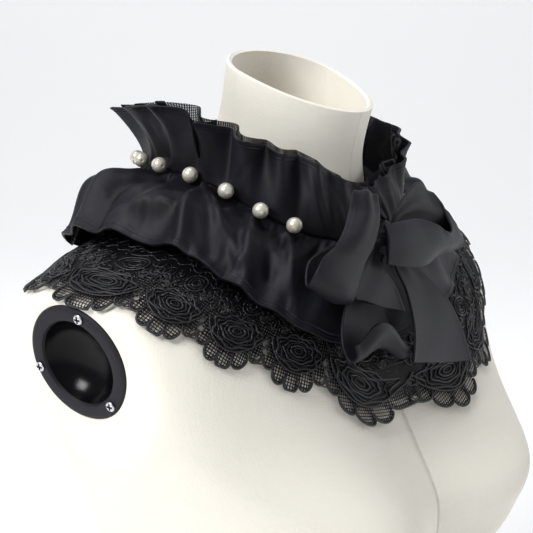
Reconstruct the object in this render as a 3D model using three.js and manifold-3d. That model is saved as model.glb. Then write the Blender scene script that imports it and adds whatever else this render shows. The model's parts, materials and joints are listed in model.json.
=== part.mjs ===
// A false collar on a limbless dress form: a gathered satin capelet over a scalloped lace one,
// a standing neck ruffle, a row of pearls along the gathers and a soft bow at the front.
// Millimetres. +Z is up, -Y is the front of the form and +X is the wearer's left.
// The origin is the middle of the flat base that the form stands on.
import * as THREE from 'three';
import { mergeVertices } from 'three/addons/utils/BufferGeometryUtils.js';
import Module from 'manifold-3d';

const wasm = await Module();
wasm.setup();

const TAU = 2 * Math.PI;
const rad = (degrees) => degrees * Math.PI / 180;
const clamp = (value, low, high) => Math.min(high, Math.max(low, value));
const mix = (from, to, share) => from + (to - from) * share;
const bell = (distance, width) => Math.exp(-((distance / width) ** 2));
const smooth = (value) => {
  const t = clamp(value, 0, 1);
  return t * t * (3 - 2 * t);
};
const steps = (count) => Array.from({ length: count + 1 }, (_, i) => i / count);

// Driving sizes of the dress form
const NECK_POINT_Z = 430; // height of the point where neck and shoulder meet
const FORM_SEGMENTS = 42;
const NECK_WALL = 4;
const NECK_WELL_PLACES = 2.1; // how far down the rings of the form the hollow neck goes
const BUST_REACH = 35;
const BUST_HALF_SPAN = 87;
const BUST_BELOW_NECK = 187;
const BUST_SPREAD = 55;

// The form from its neck rim to its base: half width, reach to the front and back, heights at the
// side, front and back measured from the neck point, and how square the section is.
const FORM_RINGS = [
  { half: 50, front: 60, back: 31, zSide: 80, zFront: 59, zBack: 91, square: 2.0 }, // neck rim
  { half: 48.5, front: 54, back: 41, zSide: 40, zFront: 24, zBack: 52, square: 2.0 }, // neck
  { half: 57, front: 62, back: 56, zSide: 4, zFront: -22, zBack: 18, square: 2.1 }, // neck root
  { half: 80, front: 68, back: 68, zSide: -8, zFront: -42, zBack: -2, square: 2.2 },
  { half: 125, front: 82, back: 82, zSide: -23, zFront: -66, zBack: -26, square: 2.5 }, // shoulder
  { half: 165, front: 92, back: 92, zSide: -36, zFront: -95, zBack: -55, square: 2.8 },
  { half: 186, front: 99, back: 107, zSide: -50, zFront: -120, zBack: -85, square: 2.9 }, // cap
  { half: 187, front: 114, back: 106, zSide: -96, zFront: -146, zBack: -115, square: 2.8 },
  { half: 176, front: 132, back: 94, zSide: -125, zFront: -178, zBack: -150, square: 2.6 },
  { half: 159, front: 135, back: 91, zSide: -165, zFront: -208, zBack: -185, square: 2.3 }, // bust
  { half: 138, front: 137, back: 84, zSide: -225, zFront: -245, zBack: -235, square: 2.2 },
  { half: 120, front: 96, back: 74, zSide: -330, zFront: -330, zBack: -330, square: 2.1 }, // waist
  { half: 132, front: 100, back: 86, zSide: -430, zFront: -430, zBack: -430, square: 2.1 }, // base
];

// Driving sizes of the arm plates
const PLATE_RADIUS = 35.5;
const PLATE_CENTRE = { x: 178, y: 4, z: -79 }; // z from the neck point
const PLATE_DOWN = 12; // degrees that the plate looks down, and forward
const PLATE_FORWARD = 4;
const PLATE_FLAT = 38; // radius of the flat round the plate, and how far it fades out
const PLATE_FADE = 30;
const PLATE_PRESS = 8; // how far the form may stand from the flat there
const SCREW_CIRCLE = 31;
const SCREW_RADIUS = 3;
const SCREW_TURN = 14;

// Driving sizes of the collar
const SEAM_GAP = 0.3;
const SATIN = 1.2;
const LACE = 1.6;
const TULLE = 1.0;
const BAND = 1.5;
const SEAM_HALF = 82; // the gathered seam: half width, reach to the front and to the back
const SEAM_FRONT = 81;
const SEAM_BACK = 98;
const BAND_UP = 1.5;
const BAND_DOWN = 6;
const OPENING_HALF = 0.25; // degrees of the slit at the centre back
const PEARL_RADIUS = 5;
const PEARL_RISE = 4;
const PEARLS_AWAY = [47, 60.5, 75, 92, 109, 126, 143, 159, 174]; // degrees from the centre front
const REPEATS_A_SIDE = 9; // repeats of the lace from the centre front to the centre back
const LACE_LIFT = 2.3;
const LACE_FRONT_LIFT = 1.5;
const LACE_START_PLACE = 3.4;
const LACE_LOBE = 5.5;
const LACE_SPLIT = 0.2; // degrees from the centre to the edge of each half
const LACE_FALL = 20; // how far the lace drops before it turns out over the form
const LACE_BAY = 0.12; // how far the edge draws in between repeats, in places on the form
const CAPELET_PUFF = 12;
const GATHERS = 28;
const GATHER_HEIGHT = 1.4;
const RUFFLE_WAVES = 22;
const RUFFLE_FLARE = 1.8;

// The collar round the neck, a row for every 20 degrees from the centre front over the wearer's
// right: height of the seam from the neck point, the places on the form's rings where the satin
// and the lace end, the ruffle's top height and reach, and the depth of its waves.
const COURSE_STEP = 20;
const COURSE = [
  { seam: -20, satin: 4.6, lift: 7, lace: 6.4, top: 12, reach: 67, wave: 1.5, puff: 0.2 },
  { seam: -17, satin: 4.45, lift: 6, lace: 5.35, top: 19, reach: 68, wave: 3, puff: 0.3 },
  { seam: -12, satin: 4.35, lift: 7, lace: 5.25, top: 32, reach: 72, wave: 4, puff: 0.6 },
  { seam: -1, satin: 4.2, lift: 7, lace: 5.45, top: 39, reach: 77, wave: 5, puff: 0.9 },
  { seam: 12, satin: 4.1, lift: 7, lace: 5.28, top: 50, reach: 86, wave: 6, puff: 1 },
  { seam: 17, satin: 4.15, lift: 9, lace: 5.28, top: 60, reach: 97, wave: 7, puff: 1.1 },
  { seam: 17, satin: 4.4, lift: 13, lace: 5.5, top: 55, reach: 102, wave: 7, puff: 1.2 },
  { seam: 14, satin: 4.7, lift: 12, lace: 5.6, top: 50, reach: 108, wave: 7, puff: 1.2 },
  { seam: 9, satin: 4.9, lift: 9, lace: 5.75, top: 44, reach: 112, wave: 6, puff: 1 },
  { seam: 6, satin: 4.9, lift: 7, lace: 5.8, top: 38, reach: 114, wave: 4, puff: 0.8 },
  { seam: 9, satin: 4.9, lift: 8, lace: 5.75, top: 32, reach: 112, wave: 6, puff: 1 },
  { seam: 14, satin: 4.7, lift: 9, lace: 5.7, top: 34, reach: 108, wave: 7, puff: 1.1 },
  { seam: 17, satin: 4.45, lift: 9, lace: 5.6, top: 40, reach: 104, wave: 7, puff: 1.1 },
  { seam: 17, satin: 4.2, lift: 9, lace: 5.45, top: 43, reach: 99, wave: 7, puff: 1.1 },
  { seam: 12, satin: 4.15, lift: 8, lace: 5.4, top: 43, reach: 95, wave: 6, puff: 1 },
  { seam: -1, satin: 4.25, lift: 8, lace: 5.6, top: 36, reach: 90, wave: 5, puff: 0.8 },
  { seam: -12, satin: 4.4, lift: 7, lace: 6.3, top: 26, reach: 80, wave: 3, puff: 0.5 },
  { seam: -17, satin: 4.5, lift: 7, lace: 6.5, top: 17, reach: 69, wave: 2, puff: 0.3 },
];

// The capelet's large folds: where each meets the hem and the seam, in degrees from the centre
// front, its half width at the hem, and its height.
const FOLDS = [
  { hem: 12, seam: 10, width: 6, height: 4 },
  { hem: 28, seam: 24, width: 6, height: 5 },
  { hem: 40, seam: 42, width: 6, height: 8 },
  { hem: 54, seam: 55, width: 6, height: 7 },
  { hem: 68, seam: 73, width: 6, height: 7 },
  { hem: 80, seam: 76, width: 6, height: 8 },
  { hem: 99, seam: 90, width: 8, height: 11 },
  { hem: 117, seam: 112, width: 7, height: 9 },
  { hem: 133, seam: 130, width: 7, height: 8 },
  { hem: 150, seam: 147, width: 7, height: 7 },
  { hem: 166, seam: 165, width: 6, height: 6 },
  { hem: 194, seam: 195, width: 6, height: 6 },
  { hem: 210, seam: 212, width: 7, height: 8 },
  { hem: 227, seam: 230, width: 7, height: 7 },
  { hem: 245, seam: 247, width: 7, height: 9 },
  { hem: 262, seam: 266, width: 8, height: 10 },
  { hem: 279, seam: 280, width: 6, height: 8 },
  { hem: 293, seam: 291, width: 6, height: 7 },
  { hem: 307, seam: 305, width: 6, height: 7 },
  { hem: 321, seam: 320, width: 6, height: 6 },
  { hem: 335, seam: 335, width: 6, height: 5 },
  { hem: 348, seam: 349, width: 6, height: 4 },
];

// The bow. Each row is a section of the ribbon: its middle, z from the neck point, its half
// width as a vector, and how far its middle bulges.
const KNOT = { x: -17, y: -89.8, z: -13.3, halfX: 11, halfY: 9.8, halfZ: 11 };
const LOOP_RIGHT = [
  { x: -19, y: -91, z: -1.9, hx: 6, hy: -1, hz: 0, cup: 0 },
  { x: -30, y: -91, z: 5, hx: 8, hy: -2, hz: 0, cup: 2 },
  { x: -38, y: -91, z: 16, hx: 10, hy: -3, hz: -2, cup: 4 },
  { x: -46, y: -96, z: 4, hx: 9, hy: -4, hz: -3, cup: 4 },
  { x: -58, y: -101, z: -6, hx: 10, hy: -4, hz: -5, cup: 4 },
  { x: -71, y: -104, z: -14, hx: 11, hy: -3, hz: -6, cup: 3 },
  { x: -82, y: -106, z: -21, hx: 15, hy: -2, hz: -10, cup: 3 },
  { x: -88, y: -106, z: -30, hx: 17, hy: -2, hz: -10, cup: 3 },
  { x: -86, y: -100, z: -35, hx: 17, hy: -2, hz: -8, cup: 1 },
  { x: -80, y: -95, z: -26, hx: 15, hy: -2, hz: -10, cup: 1 },
  { x: -66, y: -94, z: -17, hx: 10, hy: -2, hz: -6, cup: 1 },
  { x: -48, y: -94, z: -12, hx: 6, hy: -1, hz: -4, cup: 0 },
];
const LOOP_LEFT = [
  { x: -5.4, y: -91, z: -11, hx: 0, hy: 0, hz: 4, cup: 0 },
  { x: 3, y: -89, z: -4, hx: 0, hy: 0, hz: 7, cup: 0 },
  { x: 28, y: -87, z: -5, hx: 0, hy: 1, hz: 9, cup: 1 },
  { x: 49, y: -88, z: -8, hx: -5, hy: 3, hz: 12, cup: 1 },
  { x: 66, y: -92, z: -15, hx: -12, hy: 5, hz: 15, cup: 1 },
  { x: 68, y: -98, z: -23, hx: -11, hy: 0, hz: 9, cup: 0 },
  { x: 50, y: -102, z: -25, hx: -8, hy: -4, hz: 8, cup: -1 },
  { x: 29, y: -104, z: -20, hx: -4, hy: -1, hz: 11, cup: -3 },
  { x: 7, y: -105, z: -18, hx: 0, hy: 4, hz: 14, cup: -3 },
  { x: -14, y: -105, z: -16, hx: 2, hy: 4, hz: 13, cup: -3 },
  { x: -31, y: -103, z: -14, hx: 2, hy: 3, hz: 11, cup: -2 },
];
const TAIL_SHORT = [
  { x: -31, y: -96, z: -17, hx: 6, hy: 0, hz: 0, cup: 0 },
  { x: -42, y: -99, z: -21, hx: 8, hy: 0, hz: 0, cup: 0 },
  { x: -47, y: -103, z: -29, hx: 16, hy: 0, hz: 0, cup: -1 },
  { x: -46, y: -107, z: -38, hx: 22, hy: -1, hz: -2, cup: -2 },
  { x: -42, y: -110, z: -48, hx: 24, hy: -2, hz: -8, cup: -3 },
];
const TAIL_ROLLED = [
  { x: -20, y: -92, z: -24.6, hx: 5, hy: 0, hz: 0, cup: 0 },
  { x: -32, y: -95, z: -34, hx: 8, hy: 0, hz: -2, cup: 0 },
  { x: -44, y: -99, z: -50, hx: 20, hy: 0, hz: -3, cup: -1 },
  { x: -47, y: -105, z: -66, hx: 28, hy: 0, hz: -4, cup: -2 },
  { x: -47, y: -112, z: -75, hx: 29, hy: 0, hz: -5, cup: -2 },
  { x: -49, y: -118, z: -69, hx: 29, hy: 0, hz: -5, cup: -1 },
  { x: -50, y: -116, z: -61, hx: 28, hy: 0, hz: -5, cup: 0 },
];
const TAIL_LONG = [
  { x: -11, y: -98.2, z: -20.5, hx: 5, hy: 0, hz: 0, cup: 0 },
  { x: 1, y: -98, z: -33, hx: 10, hy: 0, hz: 0, cup: 0 },
  { x: 11, y: -104, z: -47, hx: 17, hy: 1, hz: 0, cup: -2 },
  { x: 18, y: -111, z: -64, hx: 27, hy: 2, hz: 0, cup: -3 },
  { x: 20, y: -117, z: -80, hx: 35, hy: 2, hz: -4, cup: -4 },
  { x: 17, y: -123, z: -94, hx: 42, hy: 2, hz: -10, cup: -5 },
];

// The smooth curve through four values, between the middle two.
function curve(before, from, to, after, t) {
  return 0.5 * (2 * from + (to - before) * t + (2 * before - 5 * from + 4 * to - after) * t * t
    + (3 * from - before - 3 * to + after) * t * t * t);
}

// A column of a table, at a place that counts its rows.
function column(table, name, place) {
  const last = table.length - 1;
  const at = clamp(place, 0, last);
  const i = Math.min(last - 1, Math.floor(at));
  const value = (row) => table[clamp(row, 0, last)][name];
  return curve(value(i - 1), value(i), value(i + 1), value(i + 2), at - i);
}

// A column of the collar's course, which runs right round.
function course(name, away) {
  const at = away / COURSE_STEP;
  const i = Math.floor(at);
  const value = (row) => COURSE[(row + 2 * COURSE.length) % COURSE.length][name];
  return curve(value(i - 1), value(i), value(i + 1), value(i + 2), at - i);
}

const turnOf = (away) => -rad(90 + away);

// An arm plate's place: its middle, the way it faces, and its own up and forward directions.
function plateFrame(side) {
  const down = rad(PLATE_DOWN);
  const forward = rad(PLATE_FORWARD);
  const middle = new THREE.Vector3(side * PLATE_CENTRE.x, PLATE_CENTRE.y, NECK_POINT_Z + PLATE_CENTRE.z);
  const facing = new THREE.Vector3(
    side * Math.cos(down) * Math.cos(forward),
    -Math.cos(down) * Math.sin(forward),
    -Math.sin(down),
  );
  const up = new THREE.Vector3(0, 0, 1).addScaledVector(facing, -facing.z).normalize();
  const ahead = new THREE.Vector3().crossVectors(up, facing).multiplyScalar(-side);
  return { middle, facing, up, ahead };
}
const PLATES = { right: plateFrame(-1), left: plateFrame(1) };

// Presses the form flat round its arm plates.
function flattened(point) {
  const plate = point.x < 0 ? PLATES.right : PLATES.left;
  const offset = point.clone().sub(plate.middle);
  const height = offset.dot(plate.facing);
  const distance = offset.addScaledVector(plate.facing, -height).length();
  const pressed = height * (1 - smooth((distance - PLATE_FLAT) / PLATE_FADE))
    * (1 - smooth((Math.abs(height) - PLATE_PRESS) / PLATE_FADE));
  return distance < PLATE_FLAT + PLATE_FADE ? point.addScaledVector(plate.facing, -pressed) : point;
}

// A point on the form: place counts the rings from the rim down, turn runs round from the
// wearer's left through the back to the right and the front. The neck's rings are level planes,
// and the lower ones are saddles.
function formPoint(place, turn) {
  const c = Math.cos(turn);
  const s = Math.sin(turn);
  const power = 2 / column(FORM_RINGS, 'square', place);
  const x = column(FORM_RINGS, 'half', place) * Math.sign(c) * Math.abs(c) ** power;
  const reach = column(FORM_RINGS, s < 0 ? 'front' : 'back', place);
  const zEnd = column(FORM_RINGS, s < 0 ? 'zFront' : 'zBack', place);
  const saddle = 1 + clamp(place - 0.8, 0, 1);
  const z = mix(column(FORM_RINGS, 'zSide', place), zEnd, Math.abs(s) ** saddle);
  let y = reach * Math.sign(s) * Math.abs(s) ** power;
  if (s < 0) {
    const bust = bell(Math.abs(x) - BUST_HALF_SPAN, BUST_SPREAD) * bell(z + BUST_BELOW_NECK, BUST_SPREAD);
    y -= BUST_REACH * bust * smooth(-2 * s);
  }
  return flattened(new THREE.Vector3(x, y, NECK_POINT_Z + z));
}

// A point at a height above a surface, which is a function of two numbers.
const PROBE = 0.004;
function lifted(surface, u, v, height) {
  const alongU = surface(u + PROBE, v).sub(surface(u - PROBE, v));
  const alongV = surface(u, v + PROBE).sub(surface(u, v - PROBE));
  return surface(u, v).addScaledVector(alongU.cross(alongV).normalize(), height);
}
const aboveForm = (place, turn, height) => lifted(formPoint, place, turn, height);

// Joins rows of points, all of one length and closed on themselves, into triangles.
function skin(rows) {
  const around = rows[0].length;
  const faces = [];
  for (let i = 0; i < rows.length - 1; i += 1) {
    for (let j = 0; j < around; j += 1) {
      const a = i * around + j;
      const b = i * around + (j + 1) % around;
      faces.push(a, a + around, b + around, a, b + around, b);
    }
  }
  return new THREE.BufferGeometry().setFromPoints(rows.flat()).setIndex(faces);
}

// A closed solid from closed rows, its ends shut by a point in the middle of each.
function capped(rows) {
  const middle = (row) => row.reduce((sum, p) => sum.add(p), new THREE.Vector3())
    .divideScalar(row.length);
  const shut = (row) => row.map(() => middle(row));
  return mergeVertices(skin([shut(rows[0]), ...rows, shut(rows[rows.length - 1])]), 1e-4);
}

// A wall of cloth on a surface, with a point for each of the given values across and down. A cell
// that isOpen names is a gap right through the wall.
function wall(surface, across, down, thickness, isOpen = () => false) {
  const points = [];
  for (const side of [0.5, -0.5]) {
    for (const v of down) {
      for (const u of across) {
        points.push(lifted(surface, u, v, side * thickness));
      }
    }
  }
  const wide = across.length;
  const inner = wide * down.length;
  const solid = (i, j) => i >= 0 && j >= 0 && i < down.length - 1 && j < wide - 1 && !isOpen(i, j);
  const faces = [];
  const quad = (a, b, c, d) => faces.push(a, b, c, a, c, d);
  for (let i = 0; i < down.length - 1; i += 1) {
    for (let j = 0; j < wide - 1; j += 1) {
      if (!solid(i, j)) continue;
      const a = i * wide + j;
      const b = a + 1;
      const c = b + wide;
      const d = a + wide;
      quad(a, b, c, d);
      quad(a + inner, d + inner, c + inner, b + inner);
      if (!solid(i - 1, j)) quad(a, a + inner, b + inner, b);
      if (!solid(i + 1, j)) quad(c, c + inner, d + inner, d);
      if (!solid(i, j - 1)) quad(d, d + inner, a + inner, a);
      if (!solid(i, j + 1)) quad(b, b + inner, c + inner, c);
    }
  }
  return new THREE.BufferGeometry().setFromPoints(points).setIndex(faces);
}

// Turns a merged closed mesh into a solid for joining and cutting, and back.
function solidOf(geometry) {
  const plain = geometry.clone();
  plain.deleteAttribute('normal');
  plain.deleteAttribute('uv');
  const merged = mergeVertices(plain, 1e-4);
  return new wasm.Manifold(new wasm.Mesh({
    numProp: 3,
    vertProperties: new Float32Array(merged.attributes.position.array),
    triVerts: new Uint32Array(merged.index.array),
  }));
}
function geometryOf(solid) {
  const mesh = solid.getMesh();
  const geometry = new THREE.BufferGeometry();
  geometry.setAttribute('position', new THREE.BufferAttribute(mesh.vertProperties, 3));
  return geometry.setIndex(new THREE.BufferAttribute(mesh.triVerts, 1));
}

const group = new THREE.Group();
const finish = (color, roughness, metalness = 0) => new THREE.MeshStandardMaterial({
  color, roughness, metalness,
});
const linen = finish(0xe9e6da, 0.9);
const satin = finish(0x26272e, 0.5);
const thread = finish(0x131318, 0.6);
const tulle = finish(0x1b1b21, 0.7);
const pearl = finish(0xe6e2d6, 0.25);
const plateBlack = finish(0x26242c, 0.45);
const steel = finish(0xc4c8ce, 0.3, 0.9);

function add(name, geometry, material, parent = group) {
  const mesh = new THREE.Mesh(geometry, material);
  mesh.name = name;
  parent.add(mesh);
  return mesh;
}

// The body of the form, from the floor of the hollow neck up, over the rim and down to the base
const WELL_ROWS = 3;
const FORM_PLACES = [
  0, 0.6, 1.2, 1.7, 2.2, 2.7, 3.2, 3.7, 4.2, 4.7, 5.2, 5.7, 6.2, 6.7, 7.2, 7.7, 8.2, 8.8, 9.5, 10.3, 11, 12,
];
function formBody() {
  const row = (place, inset) => Array.from({ length: FORM_SEGMENTS }, (_, j) => {
    const point = formPoint(place, TAU * j / FORM_SEGMENTS);
    const flat = Math.hypot(point.x, point.y);
    const share = 1 - inset / flat;
    return new THREE.Vector3(point.x * share, point.y * share, point.z);
  });
  const well = steps(WELL_ROWS).reverse().map((share) => row(share * NECK_WELL_PLACES, NECK_WALL));
  const outside = FORM_PLACES.map((place) => row(place, 0));
  return capped([...well, ...outside]);
}

// An arm plate about its own axis: a chamfered ring and a bowl behind it
const BOWL_RADIUS = 26;
const BOWL_DEPTH = 15;
const RING_TOP = 1.9;
const RING_UNDER = -1.5;
const PLATE_SEGMENTS = 20;
const PAST_THE_SKIN = 30; // how far the pocket's cut runs out, clear of the form
const PLATE_PROFILE = [
  [0, -BOWL_DEPTH - 2.6], [10.5, -BOWL_DEPTH - 1.6], [19.5, -13], [25, -7], [27.5, RING_UNDER],
  [PLATE_RADIUS, RING_UNDER], [PLATE_RADIUS, 0.6], [PLATE_RADIUS - 1.8, RING_TOP],
  [BOWL_RADIUS + 1.4, RING_TOP],
  [BOWL_RADIUS, -0.4], [23, -5], [18, -10.5], [10, -BOWL_DEPTH + 1], [0, -BOWL_DEPTH],
];
const POCKET_PROFILE = [
  [0, -18.2], [21, -18.2], [28.4, -9], [28.4, RING_UNDER - SEAM_GAP],
  [PLATE_RADIUS + SEAM_GAP, RING_UNDER - SEAM_GAP],
  [PLATE_RADIUS + SEAM_GAP, PAST_THE_SKIN], [0, PAST_THE_SKIN],
];
function lathe(profile, segments) {
  const geometry = new THREE.LatheGeometry(profile.map(([r, h]) => new THREE.Vector2(r, h)), segments);
  return geometry.rotateX(Math.PI / 2).rotateZ(Math.PI / segments);
}
function facingPlate(plate) {
  const across = new THREE.Vector3().crossVectors(plate.up, plate.facing);
  return new THREE.Matrix4().makeBasis(across, plate.up, plate.facing).setPosition(plate.middle);
}

let body = solidOf(formBody());
for (const plate of Object.values(PLATES)) {
  body = body.subtract(solidOf(lathe(POCKET_PROFILE, PLATE_SEGMENTS).applyMatrix4(facingPlate(plate))));
}
add('form_body', geometryOf(body), linen);

const SCREW_PROFILE = [[0, 0], [SCREW_RADIUS, 0], [SCREW_RADIUS, 0.8], [SCREW_RADIUS * 0.6, 1.4], [0, 1.4]];
for (const [side, plate] of Object.entries(PLATES)) {
  add(`arm_plate_${side}`, lathe(PLATE_PROFILE, PLATE_SEGMENTS).applyMatrix4(facingPlate(plate)), plateBlack);
  for (const k of [0, 1, 2]) {
    const angle = rad(SCREW_TURN) + TAU * k / 3;
    const spot = plate.middle.clone()
      .addScaledVector(plate.up, SCREW_CIRCLE * Math.cos(angle))
      .addScaledVector(plate.ahead, SCREW_CIRCLE * Math.sin(angle))
      .addScaledVector(plate.facing, RING_TOP + SEAM_GAP);
    const place = facingPlate(plate).setPosition(spot);
    add(`arm_screw_${side}_${k + 1}`, lathe(SCREW_PROFILE, 8).applyMatrix4(place), steel);
  }
}

// A point beside the gathered seam, moved out from the neck and up
function seamPoint(away, out, up) {
  const a = rad(away);
  const reach = Math.cos(a) > 0 ? SEAM_FRONT : SEAM_BACK;
  return new THREE.Vector3(
    -Math.sin(a) * (SEAM_HALF + out),
    -Math.cos(a) * (reach + out),
    NECK_POINT_Z + course('seam', away) + up,
  );
}

// Directions from the slit at the centre back round the front to the slit again
const roundNeck = (share) => mix(-180 + OPENING_HALF, 180 - OPENING_HALF, share);
const fromBack = (away) => (away + 360) % 360;

const BAND_OUT = -(SATIN + BAND) / 2 - SEAM_GAP;
const bandSurface = (u, v) => seamPoint(fromBack(roundNeck(u)), BAND_OUT, mix(BAND_UP, -BAND_DOWN, v));
add('neck_band', wall(bandSurface, steps(54), [0, 1], BAND), thread);

const BUTTON_PROFILE = [[0, 0], [2.6, 0], [3, 0.6], [2.6, 1.4], [2, 1.6], [1.6, 1.3], [0, 1.3]];
const button = lathe(BUTTON_PROFILE, 12).rotateX(-Math.PI / 2).rotateZ(Math.PI);
const buttonSpot = seamPoint(180, BAND_OUT - BAND / 2 - SEAM_GAP, -BAND_DOWN / 2);
add('band_button', button.translate(buttonSpot.x, buttonSpot.y, buttonSpot.z), plateBlack);

// The satin capelet: from the seam over a soft puff to the hem, which lies on the lace
const foldAt = (away, v) => FOLDS.reduce((sum, fold) => {
  const middle = mix(fold.seam, fold.hem, v);
  const gone = Math.abs((away - middle + 540) % 360 - 180);
  return sum + fold.height * bell(gone, fold.width * mix(0.6, 1, v));
}, 0);
function capeletSurface(u, v) {
  const away = fromBack(roundNeck(u));
  const from = seamPoint(away, 0, -0.5);
  const to = aboveForm(course('satin', away), turnOf(away), course('lift', away));
  const chord = to.clone().sub(from);
  const a = rad(away);
  const sideways = new THREE.Vector3(-Math.cos(a), Math.sin(a), 0);
  const rise = chord.clone().cross(sideways).normalize();
  if (rise.z - Math.sin(a) * rise.x - Math.cos(a) * rise.y < 0) rise.negate();
  const t = clamp(v, 0, 1);
  const swell = Math.sin(Math.PI * t) ** 2 * CAPELET_PUFF * course('puff', away);
  const folds = foldAt(away, t) * smooth((t - 0.1) / 0.5) * mix(0.75, 1, t);
  const gathers = GATHER_HEIGHT * Math.sin(rad(away) * GATHERS) * bell(t - 0.25, 0.14);
  return from.addScaledVector(chord, v).addScaledVector(rise, swell + folds + gathers);
}
const CAPELET_ROWS = [0, 0.12, 0.3, 0.52, 0.76, 1];
add('capelet', wall(capeletSurface, steps(112), CAPELET_ROWS, SATIN), satin);

// The lace capelet: from under the band down to the form, then close along it to the lobed edge
const LOBES = [0.35, 0.7, 1, 0.7, 0.35]; // reach of the five lobes of a repeat
const REPEAT_COLUMNS = 2 * LOBES.length;
const LACE_ROWS = [0, 0.42, 0.68, 0.76, 0.88, 1];
const BLEND_END = 0.42;
function laceSurface(side) {
  return (u, v) => {
    const away = side * mix(LACE_SPLIT, 180 - LACE_SPLIT, u);
    const within = (u * REPEATS_A_SIDE) % 1;
    const edge = course('lace', fromBack(away));
    const bay = LACE_BAY * (Math.sin(Math.PI * within) - 0.6) * smooth((v - 0.6) / 0.4);
    const place = mix(LACE_START_PLACE, edge + bay, v);
    const lift = LACE_LIFT + LACE_FRONT_LIFT * bell(away, COURSE_STEP);
    const low = aboveForm(place, turnOf(away), lift);
    const high = seamPoint(fromBack(away), BAND_OUT, -BAND_DOWN - SEAM_GAP - 0.2)
      .add(new THREE.Vector3(0, 0, -LACE_FALL * v));
    return high.lerp(low, smooth(v / BLEND_END));
  };
}
// The lobes are drawn in the last row: every second point reaches out.
function lobed(side) {
  const surface = laceSurface(side);
  return (u, v) => {
    const place = Math.round(u * REPEATS_A_SIDE * REPEAT_COLUMNS);
    const lobe = LOBES[Math.floor((place % REPEAT_COLUMNS) / 2)];
    const reach = place % 2 ? lobe * LACE_LOBE : 0;
    const point = surface(u, v);
    if (v < 0.99) return point;
    const down = surface(u, 1).sub(surface(u, 0.97)).normalize();
    return point.addScaledVector(down, reach);
  };
}
// Gaps in a repeat, as row and column of its cells: two above and one near the edge
const LACE_GAPS = [[3, 0], [2, 2], [2, 7]];
const isGap = (i, j) => LACE_GAPS.some(([row, place]) => row === i && place === j % REPEAT_COLUMNS);
for (const [name, side] of [['right', 1], ['left', -1]]) {
  const across = steps(REPEATS_A_SIDE * REPEAT_COLUMNS);
  add(`lace_${name}`, wall(lobed(side), across, LACE_ROWS, LACE, isGap), thread);
}

// The two neck ruffles, one inside the other with the same waves
function ruffleSurface(out, taller) {
  return (u, v) => {
    const away = fromBack(roundNeck(u));
    const flare = clamp(v, 0, 1) ** RUFFLE_FLARE;
    const a = rad(away);
    const reach = Math.cos(a) > 0 ? SEAM_FRONT : SEAM_BACK;
    const lean = course('reach', away) - mix(reach, SEAM_HALF, Math.sin(a) ** 2);
    const fromFront = rad(Math.min(away, 360 - away));
    const wave = course('wave', away) * Math.sin(fromFront * RUFFLE_WAVES) * flare;
    const rise = (course('top', away) - course('seam', away) + taller) * v;
    return seamPoint(away, out * mix(1, 1.8, flare) + lean * flare + wave, 0.5 + rise);
  };
}
const RUFFLE_ROWS = [0, 0.2, 0.42, 0.68, 1];
const INNER_OUT = BAND_OUT - (BAND + TULLE) / 2 - 2 * SEAM_GAP;
add('ruffle_outer', wall(ruffleSurface(0, 0), steps(88), RUFFLE_ROWS, SATIN), satin);
add('ruffle_inner', wall(ruffleSurface(INNER_OUT, 2), steps(88), [0, 0.42, 1], TULLE), tulle);

// Pearls on both sides of the bow
const pearlOut = SATIN / 2 + SEAM_GAP + PEARL_RADIUS + 0.27;
PEARLS_AWAY.forEach((away, k) => {
  for (const [name, side] of [['right', 1], ['left', -1]]) {
    const spot = seamPoint(fromBack(side * away), pearlOut, PEARL_RISE);
    const ball = new THREE.SphereGeometry(PEARL_RADIUS, 8, 5).translate(spot.x, spot.y, spot.z);
    add(`pearl_${name}_${k + 1}`, ball, pearl);
  }
});

// A ribbon through a table of sections
function ribbonSurface(table) {
  const at = (name, u) => column(table, name, u * (table.length - 1));
  return (u, v) => {
    const w = 2 * v - 1;
    const half = new THREE.Vector3(at('hx', u), at('hy', u), at('hz', u));
    const ahead = new THREE.Vector3(
      at('x', u + PROBE) - at('x', u - PROBE),
      at('y', u + PROBE) - at('y', u - PROBE),
      at('z', u + PROBE) - at('z', u - PROBE),
    );
    const bulge = ahead.cross(half).normalize().multiplyScalar(at('cup', u) * (1 - w * w));
    return new THREE.Vector3(at('x', u), at('y', u), NECK_POINT_Z + at('z', u))
      .addScaledVector(half, w).add(bulge);
  };
}
const knot = new THREE.SphereGeometry(1, 12, 8).scale(KNOT.halfX, KNOT.halfY, KNOT.halfZ);
add('bow_knot', knot.translate(KNOT.x, KNOT.y, NECK_POINT_Z + KNOT.z), satin);
const RIBBONS = {
  bow_loop_right: LOOP_RIGHT,
  bow_loop_left: LOOP_LEFT,
  bow_tail_short: TAIL_SHORT,
  bow_tail_rolled: TAIL_ROLLED,
  bow_tail_long: TAIL_LONG,
};
for (const [name, table] of Object.entries(RIBBONS)) {
  add(name, wall(ribbonSurface(table), steps(2 * (table.length - 1)), steps(5), SATIN), satin);
}

export default group;
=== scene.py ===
"""A false collar on a dress form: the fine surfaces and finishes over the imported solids.

A gathered satin capelet lies over a scalloped lace one. Two ruffles stand round the neck, pearls
run along the gathers, and a soft bow hangs at the front. Tables and sizes are in millimetres, with
heights from the neck point, and MM turns them into the frame's metres. +Z is up, -Y is the front
and +X is the wearer's left. "away" is an angle in degrees from the centre front over the wearer's
right.
"""

import json
import math

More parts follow.
